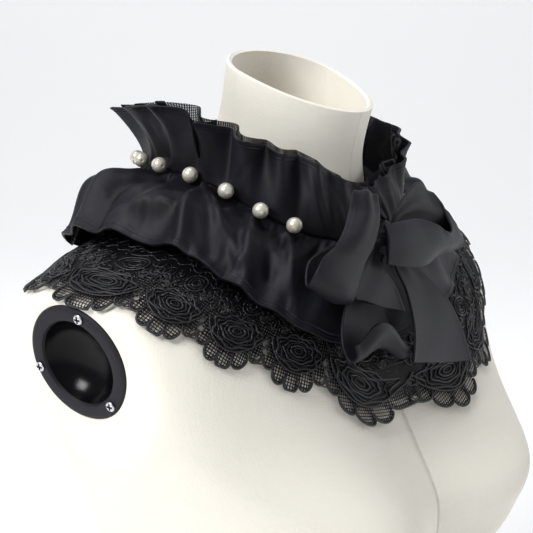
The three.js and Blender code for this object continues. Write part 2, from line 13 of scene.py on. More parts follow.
import bpy
import numpy as np
from mathutils import Matrix, Vector
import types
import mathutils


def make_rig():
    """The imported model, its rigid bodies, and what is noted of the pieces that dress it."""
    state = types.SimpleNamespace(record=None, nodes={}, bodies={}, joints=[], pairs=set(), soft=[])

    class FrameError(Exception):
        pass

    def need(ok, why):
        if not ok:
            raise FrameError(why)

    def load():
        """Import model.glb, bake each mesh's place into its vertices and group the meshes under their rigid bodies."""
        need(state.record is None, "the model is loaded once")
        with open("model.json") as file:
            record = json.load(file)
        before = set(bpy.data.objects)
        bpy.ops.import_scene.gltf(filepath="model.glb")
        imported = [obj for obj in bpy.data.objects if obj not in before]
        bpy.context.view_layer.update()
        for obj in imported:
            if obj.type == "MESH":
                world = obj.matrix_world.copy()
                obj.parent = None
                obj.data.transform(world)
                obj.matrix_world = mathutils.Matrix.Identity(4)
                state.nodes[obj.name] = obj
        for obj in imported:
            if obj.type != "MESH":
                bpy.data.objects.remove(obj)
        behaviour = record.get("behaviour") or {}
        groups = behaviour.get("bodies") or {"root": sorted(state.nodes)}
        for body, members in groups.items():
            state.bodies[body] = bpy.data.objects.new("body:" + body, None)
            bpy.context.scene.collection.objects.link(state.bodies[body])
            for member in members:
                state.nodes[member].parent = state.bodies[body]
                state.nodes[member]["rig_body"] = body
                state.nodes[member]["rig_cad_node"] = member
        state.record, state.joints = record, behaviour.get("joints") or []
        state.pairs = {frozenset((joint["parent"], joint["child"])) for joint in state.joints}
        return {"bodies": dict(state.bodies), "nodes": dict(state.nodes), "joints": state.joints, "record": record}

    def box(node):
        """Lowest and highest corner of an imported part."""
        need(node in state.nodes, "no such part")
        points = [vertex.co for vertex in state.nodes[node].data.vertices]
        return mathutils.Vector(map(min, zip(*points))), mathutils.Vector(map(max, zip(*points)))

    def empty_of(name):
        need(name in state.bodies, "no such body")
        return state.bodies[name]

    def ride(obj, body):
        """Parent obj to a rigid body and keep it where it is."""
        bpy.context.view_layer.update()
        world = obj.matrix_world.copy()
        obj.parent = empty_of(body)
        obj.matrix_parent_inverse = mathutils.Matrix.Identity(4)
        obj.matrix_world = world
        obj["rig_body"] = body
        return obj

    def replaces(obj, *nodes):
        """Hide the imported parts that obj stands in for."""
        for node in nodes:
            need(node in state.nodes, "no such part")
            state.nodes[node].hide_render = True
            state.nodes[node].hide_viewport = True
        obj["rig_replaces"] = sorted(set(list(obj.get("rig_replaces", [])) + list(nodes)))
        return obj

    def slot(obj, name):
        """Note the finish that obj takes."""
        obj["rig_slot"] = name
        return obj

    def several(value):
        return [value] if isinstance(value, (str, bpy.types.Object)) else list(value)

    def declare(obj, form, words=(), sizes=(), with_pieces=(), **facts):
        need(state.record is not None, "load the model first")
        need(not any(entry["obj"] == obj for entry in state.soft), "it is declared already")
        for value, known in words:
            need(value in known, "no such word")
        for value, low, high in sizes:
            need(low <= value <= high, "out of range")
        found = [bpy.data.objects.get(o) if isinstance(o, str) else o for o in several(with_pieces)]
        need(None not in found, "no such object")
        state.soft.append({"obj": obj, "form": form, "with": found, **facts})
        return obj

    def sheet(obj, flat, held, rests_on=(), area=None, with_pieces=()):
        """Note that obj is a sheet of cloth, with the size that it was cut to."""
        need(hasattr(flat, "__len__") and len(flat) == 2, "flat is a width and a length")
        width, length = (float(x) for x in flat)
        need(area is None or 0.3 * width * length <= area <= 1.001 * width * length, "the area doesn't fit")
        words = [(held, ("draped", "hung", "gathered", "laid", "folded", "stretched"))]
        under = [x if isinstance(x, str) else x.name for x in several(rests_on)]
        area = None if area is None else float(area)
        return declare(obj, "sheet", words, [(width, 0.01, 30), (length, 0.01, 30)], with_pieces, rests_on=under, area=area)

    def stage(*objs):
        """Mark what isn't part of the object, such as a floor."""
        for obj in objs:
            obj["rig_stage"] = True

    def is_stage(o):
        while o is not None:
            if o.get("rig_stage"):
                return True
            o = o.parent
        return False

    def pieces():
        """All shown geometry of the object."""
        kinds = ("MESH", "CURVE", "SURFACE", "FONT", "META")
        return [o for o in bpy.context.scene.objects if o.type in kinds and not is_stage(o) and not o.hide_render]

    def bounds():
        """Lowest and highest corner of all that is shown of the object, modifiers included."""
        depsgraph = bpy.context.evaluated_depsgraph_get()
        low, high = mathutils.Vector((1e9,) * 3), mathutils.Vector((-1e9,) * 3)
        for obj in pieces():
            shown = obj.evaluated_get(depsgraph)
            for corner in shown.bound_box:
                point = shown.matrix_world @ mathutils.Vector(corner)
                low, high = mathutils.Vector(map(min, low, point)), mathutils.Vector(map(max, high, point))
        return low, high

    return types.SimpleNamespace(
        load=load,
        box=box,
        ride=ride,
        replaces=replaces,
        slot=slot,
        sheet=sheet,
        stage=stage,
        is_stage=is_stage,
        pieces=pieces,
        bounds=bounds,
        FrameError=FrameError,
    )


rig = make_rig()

bl_info = {
    "name": "False collar on a dress form",
    "version": (1, 0, 0),
    "blender": (4, 5, 0),
    "location": "View3D > Sidebar > Collar",
    "description": "Builds the cloth, lace, pearls and form of a false collar round its solids",
    "category": "Object",
}

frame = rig.load()
CAD_BOX = [list(corner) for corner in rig.bounds()]
SIZE_FILE = "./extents.json"
MM = 0.001
TAU = 2 * math.pi

# The form from its neck rim to its base
FORM_RINGS = [
    {"half": 50, "front": 60, "back": 31, "z_side": 80, "z_front": 59, "z_back": 91, "square": 2.0},
    {"half": 48.5, "front": 54, "back": 41, "z_side": 40, "z_front": 24, "z_back": 52, "square": 2.0},
    {"half": 57, "front": 62, "back": 56, "z_side": 4, "z_front": -22, "z_back": 18, "square": 2.1},
    {"half": 80, "front": 68, "back": 68, "z_side": -8, "z_front": -42, "z_back": -2, "square": 2.2},
    {"half": 125, "front": 82, "back": 82, "z_side": -23, "z_front": -66, "z_back": -26, "square": 2.5},
    {"half": 165, "front": 92, "back": 92, "z_side": -36, "z_front": -95, "z_back": -55, "square": 2.8},
    {"half": 186, "front": 99, "back": 107, "z_side": -50, "z_front": -120, "z_back": -85, "square": 2.9},
    {"half": 187, "front": 114, "back": 106, "z_side": -96, "z_front": -146, "z_back": -115, "square": 2.8},
    {"half": 176, "front": 132, "back": 94, "z_side": -125, "z_front": -178, "z_back": -150, "square": 2.6},
    {"half": 159, "front": 135, "back": 91, "z_side": -165, "z_front": -208, "z_back": -185, "square": 2.3},
    {"half": 138, "front": 137, "back": 84, "z_side": -225, "z_front": -245, "z_back": -235, "square": 2.2},
    {"half": 120, "front": 96, "back": 74, "z_side": -330, "z_front": -330, "z_back": -330, "square": 2.1},
    {"half": 132, "front": 100, "back": 86, "z_side": -430, "z_front": -430, "z_back": -430, "square": 2.1},
]

# The collar's course round the neck, a row for every 20 degrees of away
COURSE_STEP = 20
COURSE = [
    {"seam": -20, "satin": 4.6, "lift": 7, "lace": 6.4, "top": 12, "reach": 67, "wave": 1.5, "puff": 0.2},
    {"seam": -17, "satin": 4.45, "lift": 6, "lace": 5.35, "top": 19, "reach": 68, "wave": 3, "puff": 0.3},
    {"seam": -12, "satin": 4.35, "lift": 7, "lace": 5.25, "top": 32, "reach": 72, "wave": 5, "puff": 0.6},
    {"seam": -1, "satin": 4.2, "lift": 7, "lace": 5.45, "top": 39, "reach": 77, "wave": 7, "puff": 0.9},
    {"seam": 12, "satin": 4.1, "lift": 7, "lace": 5.28, "top": 50, "reach": 86, "wave": 9, "puff": 1},
    {"seam": 17, "satin": 4.15, "lift": 7, "lace": 5.28, "top": 60, "reach": 97, "wave": 9, "puff": 1.1},
    {"seam": 17, "satin": 4.4, "lift": 10, "lace": 5.5, "top": 55, "reach": 102, "wave": 7, "puff": 1.2},
    {"seam": 14, "satin": 4.7, "lift": 9, "lace": 5.6, "top": 50, "reach": 108, "wave": 7, "puff": 1.2},
    {"seam": 9, "satin": 4.9, "lift": 9, "lace": 5.75, "top": 44, "reach": 112, "wave": 6, "puff": 1},
    {"seam": 6, "satin": 4.9, "lift": 7, "lace": 5.8, "top": 38, "reach": 114, "wave": 4, "puff": 0.8},
    {"seam": 9, "satin": 4.9, "lift": 8, "lace": 5.75, "top": 32, "reach": 112, "wave": 6, "puff": 1},
    {"seam": 14, "satin": 4.7, "lift": 9, "lace": 5.7, "top": 34, "reach": 108, "wave": 7, "puff": 1.1},
    {"seam": 17, "satin": 4.45, "lift": 9, "lace": 5.6, "top": 40, "reach": 104, "wave": 5, "puff": 1.1},
    {"seam": 17, "satin": 4.2, "lift": 9, "lace": 5.45, "top": 43, "reach": 99, "wave": 3.5, "puff": 1.1},
    {"seam": 12, "satin": 4.15, "lift": 8, "lace": 5.4, "top": 43, "reach": 95, "wave": 2.5, "puff": 1},
    {"seam": -1, "satin": 4.25, "lift": 8, "lace": 5.6, "top": 36, "reach": 90, "wave": 2.5, "puff": 0.8},
    {"seam": -12, "satin": 4.4, "lift": 7, "lace": 6.3, "top": 26, "reach": 80, "wave": 3, "puff": 0.5},
    {"seam": -17, "satin": 4.5, "lift": 7, "lace": 6.5, "top": 17, "reach": 69, "wave": 2, "puff": 0.3},
]

# The capelet's large folds: where each meets the hem and the seam, its half width and its height
FOLDS = [
    {"hem": 12, "seam": 10, "width": 6, "height": 4},
    {"hem": 28, "seam": 24, "width": 6, "height": 5},
    {"hem": 40, "seam": 42, "width": 6, "height": 8},
    {"hem": 54, "seam": 55, "width": 6, "height": 7},
    {"hem": 68, "seam": 73, "width": 6, "height": 7},
    {"hem": 80, "seam": 76, "width": 6, "height": 8},
    {"hem": 99, "seam": 90, "width": 8, "height": 11},
    {"hem": 117, "seam": 112, "width": 7, "height": 9},
    {"hem": 133, "seam": 130, "width": 7, "height": 8},
    {"hem": 150, "seam": 147, "width": 7, "height": 7},
    {"hem": 166, "seam": 165, "width": 6, "height": 6},
    {"hem": 194, "seam": 195, "width": 6, "height": 6},
    {"hem": 210, "seam": 212, "width": 7, "height": 8},
    {"hem": 227, "seam": 230, "width": 7, "height": 7},
    {"hem": 245, "seam": 247, "width": 7, "height": 9},
    {"hem": 262, "seam": 266, "width": 8, "height": 10},
    {"hem": 279, "seam": 280, "width": 6, "height": 8},
    {"hem": 293, "seam": 291, "width": 6, "height": 7},
    {"hem": 307, "seam": 305, "width": 6, "height": 7},
    {"hem": 321, "seam": 320, "width": 6, "height": 6},
    {"hem": 335, "seam": 335, "width": 6, "height": 5},
    {"hem": 348, "seam": 349, "width": 6, "height": 4},
]

# The capelet's soft ridges and hollows: each runs from one angle and share of the drop to another
DRAPES = [
    {"from": (92, 0.28), "to": (98, 0.66), "width": 8, "height": -5},
    {"from": (87, 0.6), "to": (105, 0.86), "width": 5, "height": 4},
    {"from": (84, 0.08), "to": (77, 0.92), "width": 4.5, "height": 5},
    {"from": (84, 0.08), "to": (57, 0.8), "width": 4, "height": 4},
    {"from": (73, 0.35), "to": (68, 0.85), "width": 6, "height": -4},
    {"from": (63, 0.05), "to": (53, 0.92), "width": 4, "height": 4},
    {"from": (58, 0.1), "to": (47, 0.7), "width": 4.5, "height": -4},
    {"from": (48, 0.1), "to": (36, 0.9), "width": 4, "height": 4.5},
    {"from": (104, 0.1), "to": (110, 0.6), "width": 5, "height": -4},
    {"from": (114, 0.2), "to": (120, 0.9), "width": 6, "height": 4},
]

# The bow's ribbons. Each row is a section: its middle, its half width as a vector, and its bulge.
LOOP_RIGHT = [
    {"x": -19, "y": -91, "z": -1.9, "hx": 6, "hy": -1, "hz": 0, "cup": 0},
    {"x": -30, "y": -91, "z": 5, "hx": 8, "hy": -2, "hz": 0, "cup": 1},
    {"x": -38, "y": -91, "z": 16, "hx": 8.5, "hy": -3, "hz": -2, "cup": 1},
    {"x": -46, "y": -96, "z": 4, "hx": 10.5, "hy": -4, "hz": -3, "cup": 4},
    {"x": -58, "y": -101, "z": -6, "hx": 10, "hy": -4, "hz": -5, "cup": 4},
    {"x": -71, "y": -104, "z": -14, "hx": 11, "hy": -3, "hz": -6, "cup": 3},
    {"x": -82, "y": -106, "z": -21, "hx": 15, "hy": -2, "hz": -10, "cup": 3},
    {"x": -88, "y": -106, "z": -30, "hx": 17, "hy": -2, "hz": -10, "cup": 3},
    {"x": -86, "y": -100, "z": -35, "hx": 17, "hy": -2, "hz": -8, "cup": 1},
    {"x": -80, "y": -95, "z": -26, "hx": 15, "hy": -2, "hz": -10, "cup": 1},
    {"x": -66, "y": -94, "z": -17, "hx": 10, "hy": -2, "hz": -6, "cup": 1},
    {"x": -48, "y": -94, "z": -12, "hx": 6, "hy": -1, "hz": -4, "cup": 0},
]
LOOP_LEFT = [
    {"x": -5.4, "y": -91, "z": -11, "hx": 0, "hy": 0, "hz": 4, "cup": 0},
    {"x": 3, "y": -89, "z": -4, "hx": 0, "hy": 0, "hz": 7, "cup": 0},
    {"x": 28, "y": -87, "z": 0, "hx": 0, "hy": 1, "hz": 15, "cup": 1},
    {"x": 49, "y": -88, "z": -5, "hx": -5, "hy": 3, "hz": 13, "cup": 1},
    {"x": 66, "y": -92, "z": -12, "hx": -12, "hy": 5, "hz": 15, "cup": 1},
    {"x": 68, "y": -98, "z": -23, "hx": -11, "hy": 0, "hz": 9, "cup": 0},
    {"x": 50, "y": -102, "z": -25, "hx": -8, "hy": -4, "hz": 8, "cup": -1},
    {"x": 29, "y": -104, "z": -20, "hx": -4, "hy": -1, "hz": 11, "cup": -3},
    {"x": 7, "y": -105, "z": -18, "hx": 0, "hy": 4, "hz": 14, "cup": -3},
    {"x": -14, "y": -105, "z": -16, "hx": 2, "hy": 4, "hz": 13, "cup": -3},
    {"x": -31, "y": -103, "z": -14, "hx": 2, "hy": 3, "hz": 11, "cup": -2},
]
TAIL_SHORT = [
    {"x": -31, "y": -96, "z": -17, "hx": 6, "hy": 0, "hz": 0, "cup": 0},
    {"x": -42, "y": -99, "z": -21, "hx": 8, "hy": 0, "hz": 0, "cup": 0},
    {"x": -47, "y": -103, "z": -29, "hx": 16, "hy": 0, "hz": 0, "cup": -1},
    {"x": -46, "y": -107, "z": -38, "hx": 22, "hy": -1, "hz": -2, "cup": -2},
    {"x": -42, "y": -110, "z": -48, "hx": 24, "hy": -2, "hz": -8, "cup": -3},
]
TAIL_ROLLED = [
    {"x": -20, "y": -92, "z": -24.6, "hx": 5, "hy": 0, "hz": 0, "cup": 0},
    {"x": -32, "y": -95, "z": -34, "hx": 8, "hy": 0, "hz": -2, "cup": 0},
    {"x": -44, "y": -99, "z": -50, "hx": 20, "hy": 0, "hz": -3, "cup": -1},
    {"x": -47, "y": -105, "z": -68, "hx": 28, "hy": 0, "hz": -4, "cup": -2, "arch": 3},
    {"x": -47, "y": -112, "z": -80, "hx": 29, "hy": 0, "hz": -5, "cup": -2, "arch": 10},
    {"x": -49, "y": -118, "z": -75, "hx": 29, "hy": 0, "hz": -5, "cup": -1, "arch": 13},
    {"x": -50, "y": -116, "z": -69, "hx": 28, "hy": 0, "hz": -5, "cup": 0, "arch": 13},
]
TAIL_LONG = [
    {"x": -11, "y": -98.2, "z": -20.5, "hx": 5, "hy": 0, "hz": 0, "cup": 0},
    {"x": 1, "y": -98, "z": -33, "hx": 10, "hy": 0, "hz": 0, "cup": 0},
    {"x": 11, "y": -104, "z": -47, "hx": 17, "hy": 1, "hz": 0, "cup": -2},
    {"x": 18, "y": -111, "z": -64, "hx": 27, "hy": 2, "hz": 0, "cup": -3},
    {"x": 20, "y": -117, "z": -80, "hx": 35, "hy": 2, "hz": -4, "cup": -4},
    {"x": 17, "y": -123, "z": -94, "hx": 42, "hy": 2, "hz": -10, "cup": -5},
]
RIBBONS = {
    "bow_loop_right": LOOP_RIGHT,
    "bow_loop_left": LOOP_LEFT,
    "bow_tail_short": TAIL_SHORT,
    "bow_tail_rolled": TAIL_ROLLED,
    "bow_tail_long": TAIL_LONG,
}
PEARLS_AWAY = [47, 60.5, 75, 92, 109, 126, 143, 159, 174]


def length(name, description, value):
    """A size of the collar as a property, given in millimetres."""
    return bpy.props.FloatProperty(
        name=name, description=description, default=value * MM, unit="LENGTH", precision=5
    )


def colour(name, description, value):
    """A finish's colour as a property."""
    return bpy.props.FloatVectorProperty(
        name=name, description=description, default=value, subtype="COLOR", size=3, min=0, max=1
    )


class FormSizes(bpy.types.PropertyGroup):
    """The dress form and its arm plates."""

    neck_point: length("Neck point", "Height where neck and shoulder meet", 430)
    neck_wall: length("Neck wall", "Thickness of the hollow neck", 4)
    bust_reach: length("Bust reach", "How far the bust stands forward", 35)
    bust_half_span: length("Bust half span", "From the middle to each side's fullest place", 87)
    bust_below_neck: length("Bust below neck", "How far the bust is below the neck point", 187)
    bust_spread: length("Bust spread", "How far the bust's roundness reaches", 55)
    screw_circle: length("Screw circle", "Radius of the circle that the screws stand on", 31)


class CollarSizes(bpy.types.PropertyGroup):
    """The cloth, lace, pearls and bow."""

    satin: length("Satin", "Thickness of the satin with its turned edge", 1.2)
    tulle: length("Tulle", "Thickness of the inner ruffle", 1.0)
    band: length("Band", "Thickness of the neck band", 1.5)
    seam_half: length("Seam half width", "From the middle to the gathered seam at the side", 82)
    seam_front: length("Seam front", "From the middle to the gathered seam at the front", 81)
    seam_back: length("Seam back", "From the middle to the gathered seam at the back", 98)
    hem: length("Hem", "Width of the rolled hem", 5)
    repeat: length("Lace repeat", "Width of one repeat of the lace", 60)
    net: length("Net", "Pitch of the lace's net", 2)
    pearl_radius: length("Pearl radius", "Radius of a pearl", 5)
    ribbon_hem: length("Ribbon hem", "Width of the bow's turned edge", 4)


class Finishes(bpy.types.PropertyGroup):
    """The colours of the finishes."""

    linen: colour("Linen", "The form's cover", (0.86, 0.86, 0.84))
    satin: colour("Satin", "Capelet, outer ruffle and bow", (0.0075, 0.0075, 0.0095))
    lace: colour("Lace", "Lace, net and neck band", (0.005, 0.005, 0.007))
    pearl: colour("Pearl", "The pearls' coat", (0.74, 0.73, 0.66))
    plate: colour("Plate", "The arm plates' ring", (0.018, 0.017, 0.022))
    steel: colour("Steel", "The screw heads", (0.62, 0.63, 0.66))
    paper: colour("Paper", "Floor and backdrop", (0.82, 0.82, 0.825))


def form_sizes():
    """The form's sizes, for the functions below."""
    return bpy.context.scene.form_sizes


def collar_sizes():
    """The collar's sizes, for the functions below."""
    return bpy.context.scene.collar_sizes


# Curves and tables
def mix(start, end, share):
    """The value at a share of the way from start to end."""
    return start + (end - start) * share


def smooth(value):
    """A soft step from 0 to 1."""
    t = np.clip(value, 0, 1)
    return t * t * (3 - 2 * t)


def bell(distance, width):
    """1 at no distance, fading over the width."""
    return np.exp(-((distance / width) ** 2))


def gone_round(away, middle):
    """Degrees from a middle angle, from -180 to 180."""
    return np.mod(away - middle + 180, 360) - 180


def spread(places, counts):
    """Values from place to place, with a count for each stretch, both of its ends included."""
    stretches = zip(places, places[1:], counts)
    parts = [np.linspace(start, end, count)[:-1] for start, end, count in stretches]
    return np.append(np.concatenate(parts), places[-1])


def curve(before, start, end, after, t):
    """The smooth curve through four values, between the middle two."""
    return 0.5 * (
        2 * start
        + (end - before) * t
        + (2 * before - 5 * start + 4 * end - after) * t * t
        + (3 * start - before - 3 * end + after) * t * t * t
    )


def column(table, name, place):
    """A column of a table, at places that count its rows."""
    values = np.array([row.get(name, 0) for row in table], float)
    last = len(values) - 1
    at = np.clip(np.asarray(place, float), 0, last)
    i = np.minimum(last - 1, np.floor(at)).astype(int)
    rows = [values[np.clip(i + k, 0, last)] for k in (-1, 0, 1, 2)]
    return curve(*rows, at - i)


def course(name, away):
    """A column of the collar's course, which runs right round."""
    values = np.array([row[name] for row in COURSE], float)
    at = np.asarray(away, float) / COURSE_STEP
    i = np.floor(at).astype(int)
    rows = [values[(i + k) % len(values)] for k in (-1, 0, 1, 2)]
    return curve(*rows, at - i)


def unit(vectors):
    """Vectors at length one."""
    return vectors / np.maximum(np.linalg.norm(vectors, axis=-1, keepdims=True), 1e-9)


def stack(x, y, z):
    """Points from three arrays or numbers."""
    return np.stack(np.broadcast_arrays(x, y, z), -1).astype(float)


def lifted(surface, u, v, height):
    """Points at a height above a surface, which is a function of two arrays."""
    probe = 0.002
    along_u = surface(u + probe, v) - surface(u - probe, v)
    along_v = surface(u, v + probe) - surface(u, v - probe)
    return surface(u, v) + unit(np.cross(along_u, along_v)) * np.asarray(height)[..., None]


# The dress form's surface, in millimetres from the neck point
PLATE_CENTRE = {"x": 178, "y": 4, "z": -79}
PLATE_DOWN = math.radians(12)
PLATE_FORWARD = math.radians(4)
PLATE_FLAT = 38
PLATE_FADE = 30
PLATE_PRESS = 8


def plate_frame(side):
    """An arm plate's middle, the way it faces, and its own up and across directions."""
    middle = np.array([side * PLATE_CENTRE["x"], PLATE_CENTRE["y"], PLATE_CENTRE["z"]], float)
    level = math.cos(PLATE_DOWN)
    facing = np.array(
        [side * level * math.cos(PLATE_FORWARD), -level * math.sin(PLATE_FORWARD), -math.sin(PLATE_DOWN)]
    )
    up = unit(np.array([0, 0, 1]) - facing * facing[2])
    return middle, facing, up, np.cross(up, facing)


PLATES = {"right": plate_frame(-1), "left": plate_frame(1)}


def flattened(points):
    """Presses the form flat round its arm plates."""
    for side, (middle, facing, _, _) in PLATES.items():
        offset = points - middle
        height = offset @ facing
        distance = np.linalg.norm(offset - height[..., None] * facing, axis=-1)
        near = (points[..., 0] < 0) == (side == "right")
        pressed = height * (1 - smooth((distance - PLATE_FLAT) / PLATE_FADE))
        pressed = pressed * (1 - smooth((np.abs(height) - PLATE_PRESS) / PLATE_FADE)) * near
        points = points - pressed[..., None] * facing
    return points


def form_point(place, turn):
    """Points on the form: place counts the rings from the rim down, turn runs round."""
    sizes = form_sizes()
    place, turn = np.broadcast_arrays(np.asarray(place, float), np.asarray(turn, float))
    c, s = np.cos(turn), np.sin(turn)
    power = 2 / column(FORM_RINGS, "square", place)
    x = column(FORM_RINGS, "half", place) * np.sign(c) * np.abs(c) ** power
    front = s < 0
    reach = np.where(front, column(FORM_RINGS, "front", place), column(FORM_RINGS, "back", place))
    z_end = np.where(front, column(FORM_RINGS, "z_front", place), column(FORM_RINGS, "z_back", place))
    saddle = 1 + np.clip(place - 0.8, 0, 1)
    z = mix(column(FORM_RINGS, "z_side", place), z_end, np.abs(s) ** saddle)
    y = reach * np.sign(s) * np.abs(s) ** power
    width = sizes.bust_spread / MM
    bust = bell(np.abs(x) - sizes.bust_half_span / MM, width)
    bust = bust * bell(z + sizes.bust_below_neck / MM, width) * smooth(-2 * s)
    return flattened(stack(x, y - sizes.bust_reach / MM * bust, z))


def turn_of(away):
    """The turn round the form of an angle away from the centre front."""
    return -np.radians(90 + away)


def above_form(place, turn, height):
    """Points at a height above the form."""
    return lifted(form_point, place, turn, height)


# The collar's surfaces, in millimetres from the neck point
SEAM_GAP = 0.3
OPENING_HALF = 0.25
BAND_UP = 1.5
BAND_DOWN = 6
CAPELET_PUFF = 12
GATHERS = 28
GATHER_HEIGHT = 1.4
CREASE_SEED = 7
CREASE_COUNT = 150
MM_A_DEGREE = 2
CAPELET_DROP = 64
RUFFLE_CREASES = 75
RUFFLE_SLIT = 91
RUFFLE_SLIT_HALF = 2.4
RUFFLE_SLIT_DEPTH = 0.7
RIBBON_PLEATS = 0.7
RIBBON_PUFF = 2.6
RUFFLE_WAVES = 22
RUFFLE_FLARE = 1.8
LACE_LIFT = 2.3
LACE_FRONT_LIFT = 1.5
LACE_START_PLACE = 3.4
LACE_SPLIT = 0.2
LACE_SHOULDER_LIFT = 3
LACE_LAP = 2.2
LACE_LAP_LIFT = 1.6
LACE_FALL = 20
LACE_BAY = 0.12
LACE_BLEND_END = 0.42
LACE_LOBE = 5.5
LACE_LOBES = [-0.55, 0.45, 1, 0.5, -0.5]
REPEATS_A_SIDE = 9


def seam_reach(away):
    """How far the gathered seam is from the middle, forward or back."""
    sizes = collar_sizes()
    return np.where(np.cos(np.radians(away)) > 0, sizes.seam_front, sizes.seam_back) / MM


def seam_point(away, out, up):
    """Points beside the gathered seam, moved out from the neck and up."""
    a = np.radians(away)
    half = collar_sizes().seam_half / MM
    return stack(
        -np.sin(a) * (half + out),
        -np.cos(a) * (seam_reach(away) + out),
        course("seam", away) + up,
    )


def round_neck(share):
    """Angles from the slit at the centre back round the front to the slit again."""
    return np.mod(mix(-180 + OPENING_HALF, 180 - OPENING_HALF, share), 360)


def band_out():
    """How far inside the seam the neck band lies."""
    sizes = collar_sizes()
    return -(sizes.satin + sizes.band) / 2 / MM - SEAM_GAP


def band_surface(u, v):
    """The neck band, from its top to its lower edge."""
    return seam_point(round_neck(u), band_out(), mix(BAND_UP, -BAND_DOWN, v))


def fold_height(away, v):
    """The height of the capelet's large folds."""
    total = 0
    for fold in FOLDS:
        gone = gone_round(away, mix(fold["seam"], fold["hem"], v))
        total = total + fold["height"] * bell(gone, fold["width"] * mix(0.6, 1, v))
    return total


def capelet_surface(u, v):
    """The satin capelet, from the seam to its hem."""
    away = round_neck(u)
    start = seam_point(away, 0, -0.5)
    end = above_form(course("satin", away), turn_of(away), course("lift", away))
    chord = end - start
    a = np.radians(away)
    rise = unit(np.cross(chord, stack(-np.cos(a), np.sin(a), 0 * a)))
    outward = rise[..., 2] - np.sin(a) * rise[..., 0] - np.cos(a) * rise[..., 1]
    rise = rise * np.where(outward < 0, -1, 1)[..., None]
    t = np.clip(v, 0, 1)
    swell = np.sin(np.pi * t) ** 2 * CAPELET_PUFF * course("puff", away)
    folds = fold_height(away, t) * smooth((t - 0.1) / 0.5) * mix(0.75, 1, t)
    gathers = GATHER_HEIGHT * np.sin(a * GATHERS) * bell(t - 0.25, 0.14)
    height = swell + folds + gathers + fine_gathers(away, t) + creases(away, t) + drapes(away, t)
    return start + chord * np.asarray(v)[..., None] + rise * height[..., None]


def drapes(away, t):
    """The large soft ridges and hollows of the side that shows."""
    total = 0
    for drape in DRAPES:
        start = np.array(drape["from"]) * (MM_A_DEGREE, CAPELET_DROP)
        run = np.array(drape["to"]) * (MM_A_DEGREE, CAPELET_DROP) - start
        x, y = away * MM_A_DEGREE - start[0], t * CAPELET_DROP - start[1]
        share = np.clip((x * run[0] + y * run[1]) / (run @ run), 0, 1)
        distance = np.hypot(x - share * run[0], y - share * run[1])
        total = total + drape["height"] * bell(distance, drape["width"])
    return total * smooth(t / 0.12)


def creases(away, t):
    """Soft irregular creases, most of them running down the capelet."""
    chance = np.random.default_rng(CREASE_SEED)
    total = 0
    for _ in range(CREASE_COUNT):
        middle = chance.uniform(0, 360)
        down = chance.uniform(0.1, 0.95)
        reach = chance.uniform(9, 22)
        width = chance.uniform(2.2, 4.5)
        tilt = chance.normal(0, 0.45)
        height = chance.uniform(-1.5, 1.9)
        x = gone_round(away, middle) * MM_A_DEGREE
        y = (t - down) * CAPELET_DROP
        across = x * math.cos(tilt) - y * math.sin(tilt)
        along = x * math.sin(tilt) + y * math.cos(tilt)
        total = total + height * bell(across, width) * bell(along, reach)
    return total * smooth(t / 0.15) * (1 - 0.5 * smooth((t - 0.85) / 0.15))


def ruffle_creases(away, v):
    """Uneven pleats of the ruffles, from the gathers up."""
    chance = np.random.default_rng(CREASE_SEED)
    total = 0
    for _ in range(RUFFLE_CREASES):
        middle = chance.uniform(0, 360) + chance.normal(0, 6) * (v - 0.3)
        width = chance.uniform(1.3, 3.6)
        height = chance.uniform(-2.4, 2.4)
        top = chance.uniform(0.5, 1.3)
        total = total + height * bell(gone_round(away, middle), width) * bell(v - 0.45, top)
    return total * smooth(v / 0.2) * mix(0.3, 1, np.minimum(course("wave", away) / 8, 1))


def fine_gathers(away, t):
    """The small uneven pleats that run down from the gathered seam."""
    a = np.radians(away)
    wander = 2.2 * np.sin(a * 7 + 1) + 1.3 * np.sin(a * 13 + 2.1)
    tight = np.sin(a * 96 + wander) * bell(t - 0.05, 0.09)
    loose = np.sin(a * 47 + 2 * wander) * bell(t - 0.14, 0.16)
    length_here = 0.6 + 0.4 * np.sin(a * 19 + wander)
    return (0.55 * tight + 0.75 * loose) * length_here * smooth(t / 0.02)


def ruffle_surface(out, taller):
    """A neck ruffle's surface, from its seam to its top."""

    def surface(u, v):
        away = round_neck(u)
        a = np.radians(away)
        flare = np.clip(v, 0, 1) ** RUFFLE_FLARE
        half = collar_sizes().seam_half / MM
        lean = course("reach", away) - mix(seam_reach(away), half, np.sin(a) ** 2)
        from_front = np.radians(np.minimum(away, 360 - away))
        wave = course("wave", away) * np.sin(from_front * RUFFLE_WAVES) * flare + ruffle_creases(away, v)
        rise = (course("top", away) - course("seam", away) + taller) * v
        return seam_point(away, out * mix(1, 1.8, flare) + lean * flare + wave, 0.5 + rise)

    return surface


def lace_surface(side):
    """One half of the lace capelet, from under the band to its edge. side is 1 over the right."""

    def surface(u, v):
        away = side * mix(-LACE_LAP if side > 0 else LACE_SPLIT, 180 - LACE_SPLIT, u)
        round_away = np.mod(away, 360)
        within = np.mod(u * REPEATS_A_SIDE, 1)
        bay = LACE_BAY * (np.sin(np.pi * within) - 0.6) * smooth((v - 0.6) / 0.4)
        place = mix(LACE_START_PLACE, course("lace", round_away) + bay, v)
        lift = LACE_LIFT + LACE_FRONT_LIFT * bell(away, COURSE_STEP)
        lift = lift + LACE_SHOULDER_LIFT * bell(np.abs(away) - 108, 30) * bell(v - 0.6, 0.22)
        if side > 0:
            lift = lift + LACE_LAP_LIFT * bell(away, LACE_LAP)
        low = above_form(place, turn_of(away), lift)
        high = seam_point(round_away, band_out(), -BAND_DOWN - SEAM_GAP - 0.2)
        high = high - stack(0 * u, 0 * u, LACE_FALL * v)
        return mix(high, low, smooth(v / LACE_BLEND_END)[..., None])

    return surface


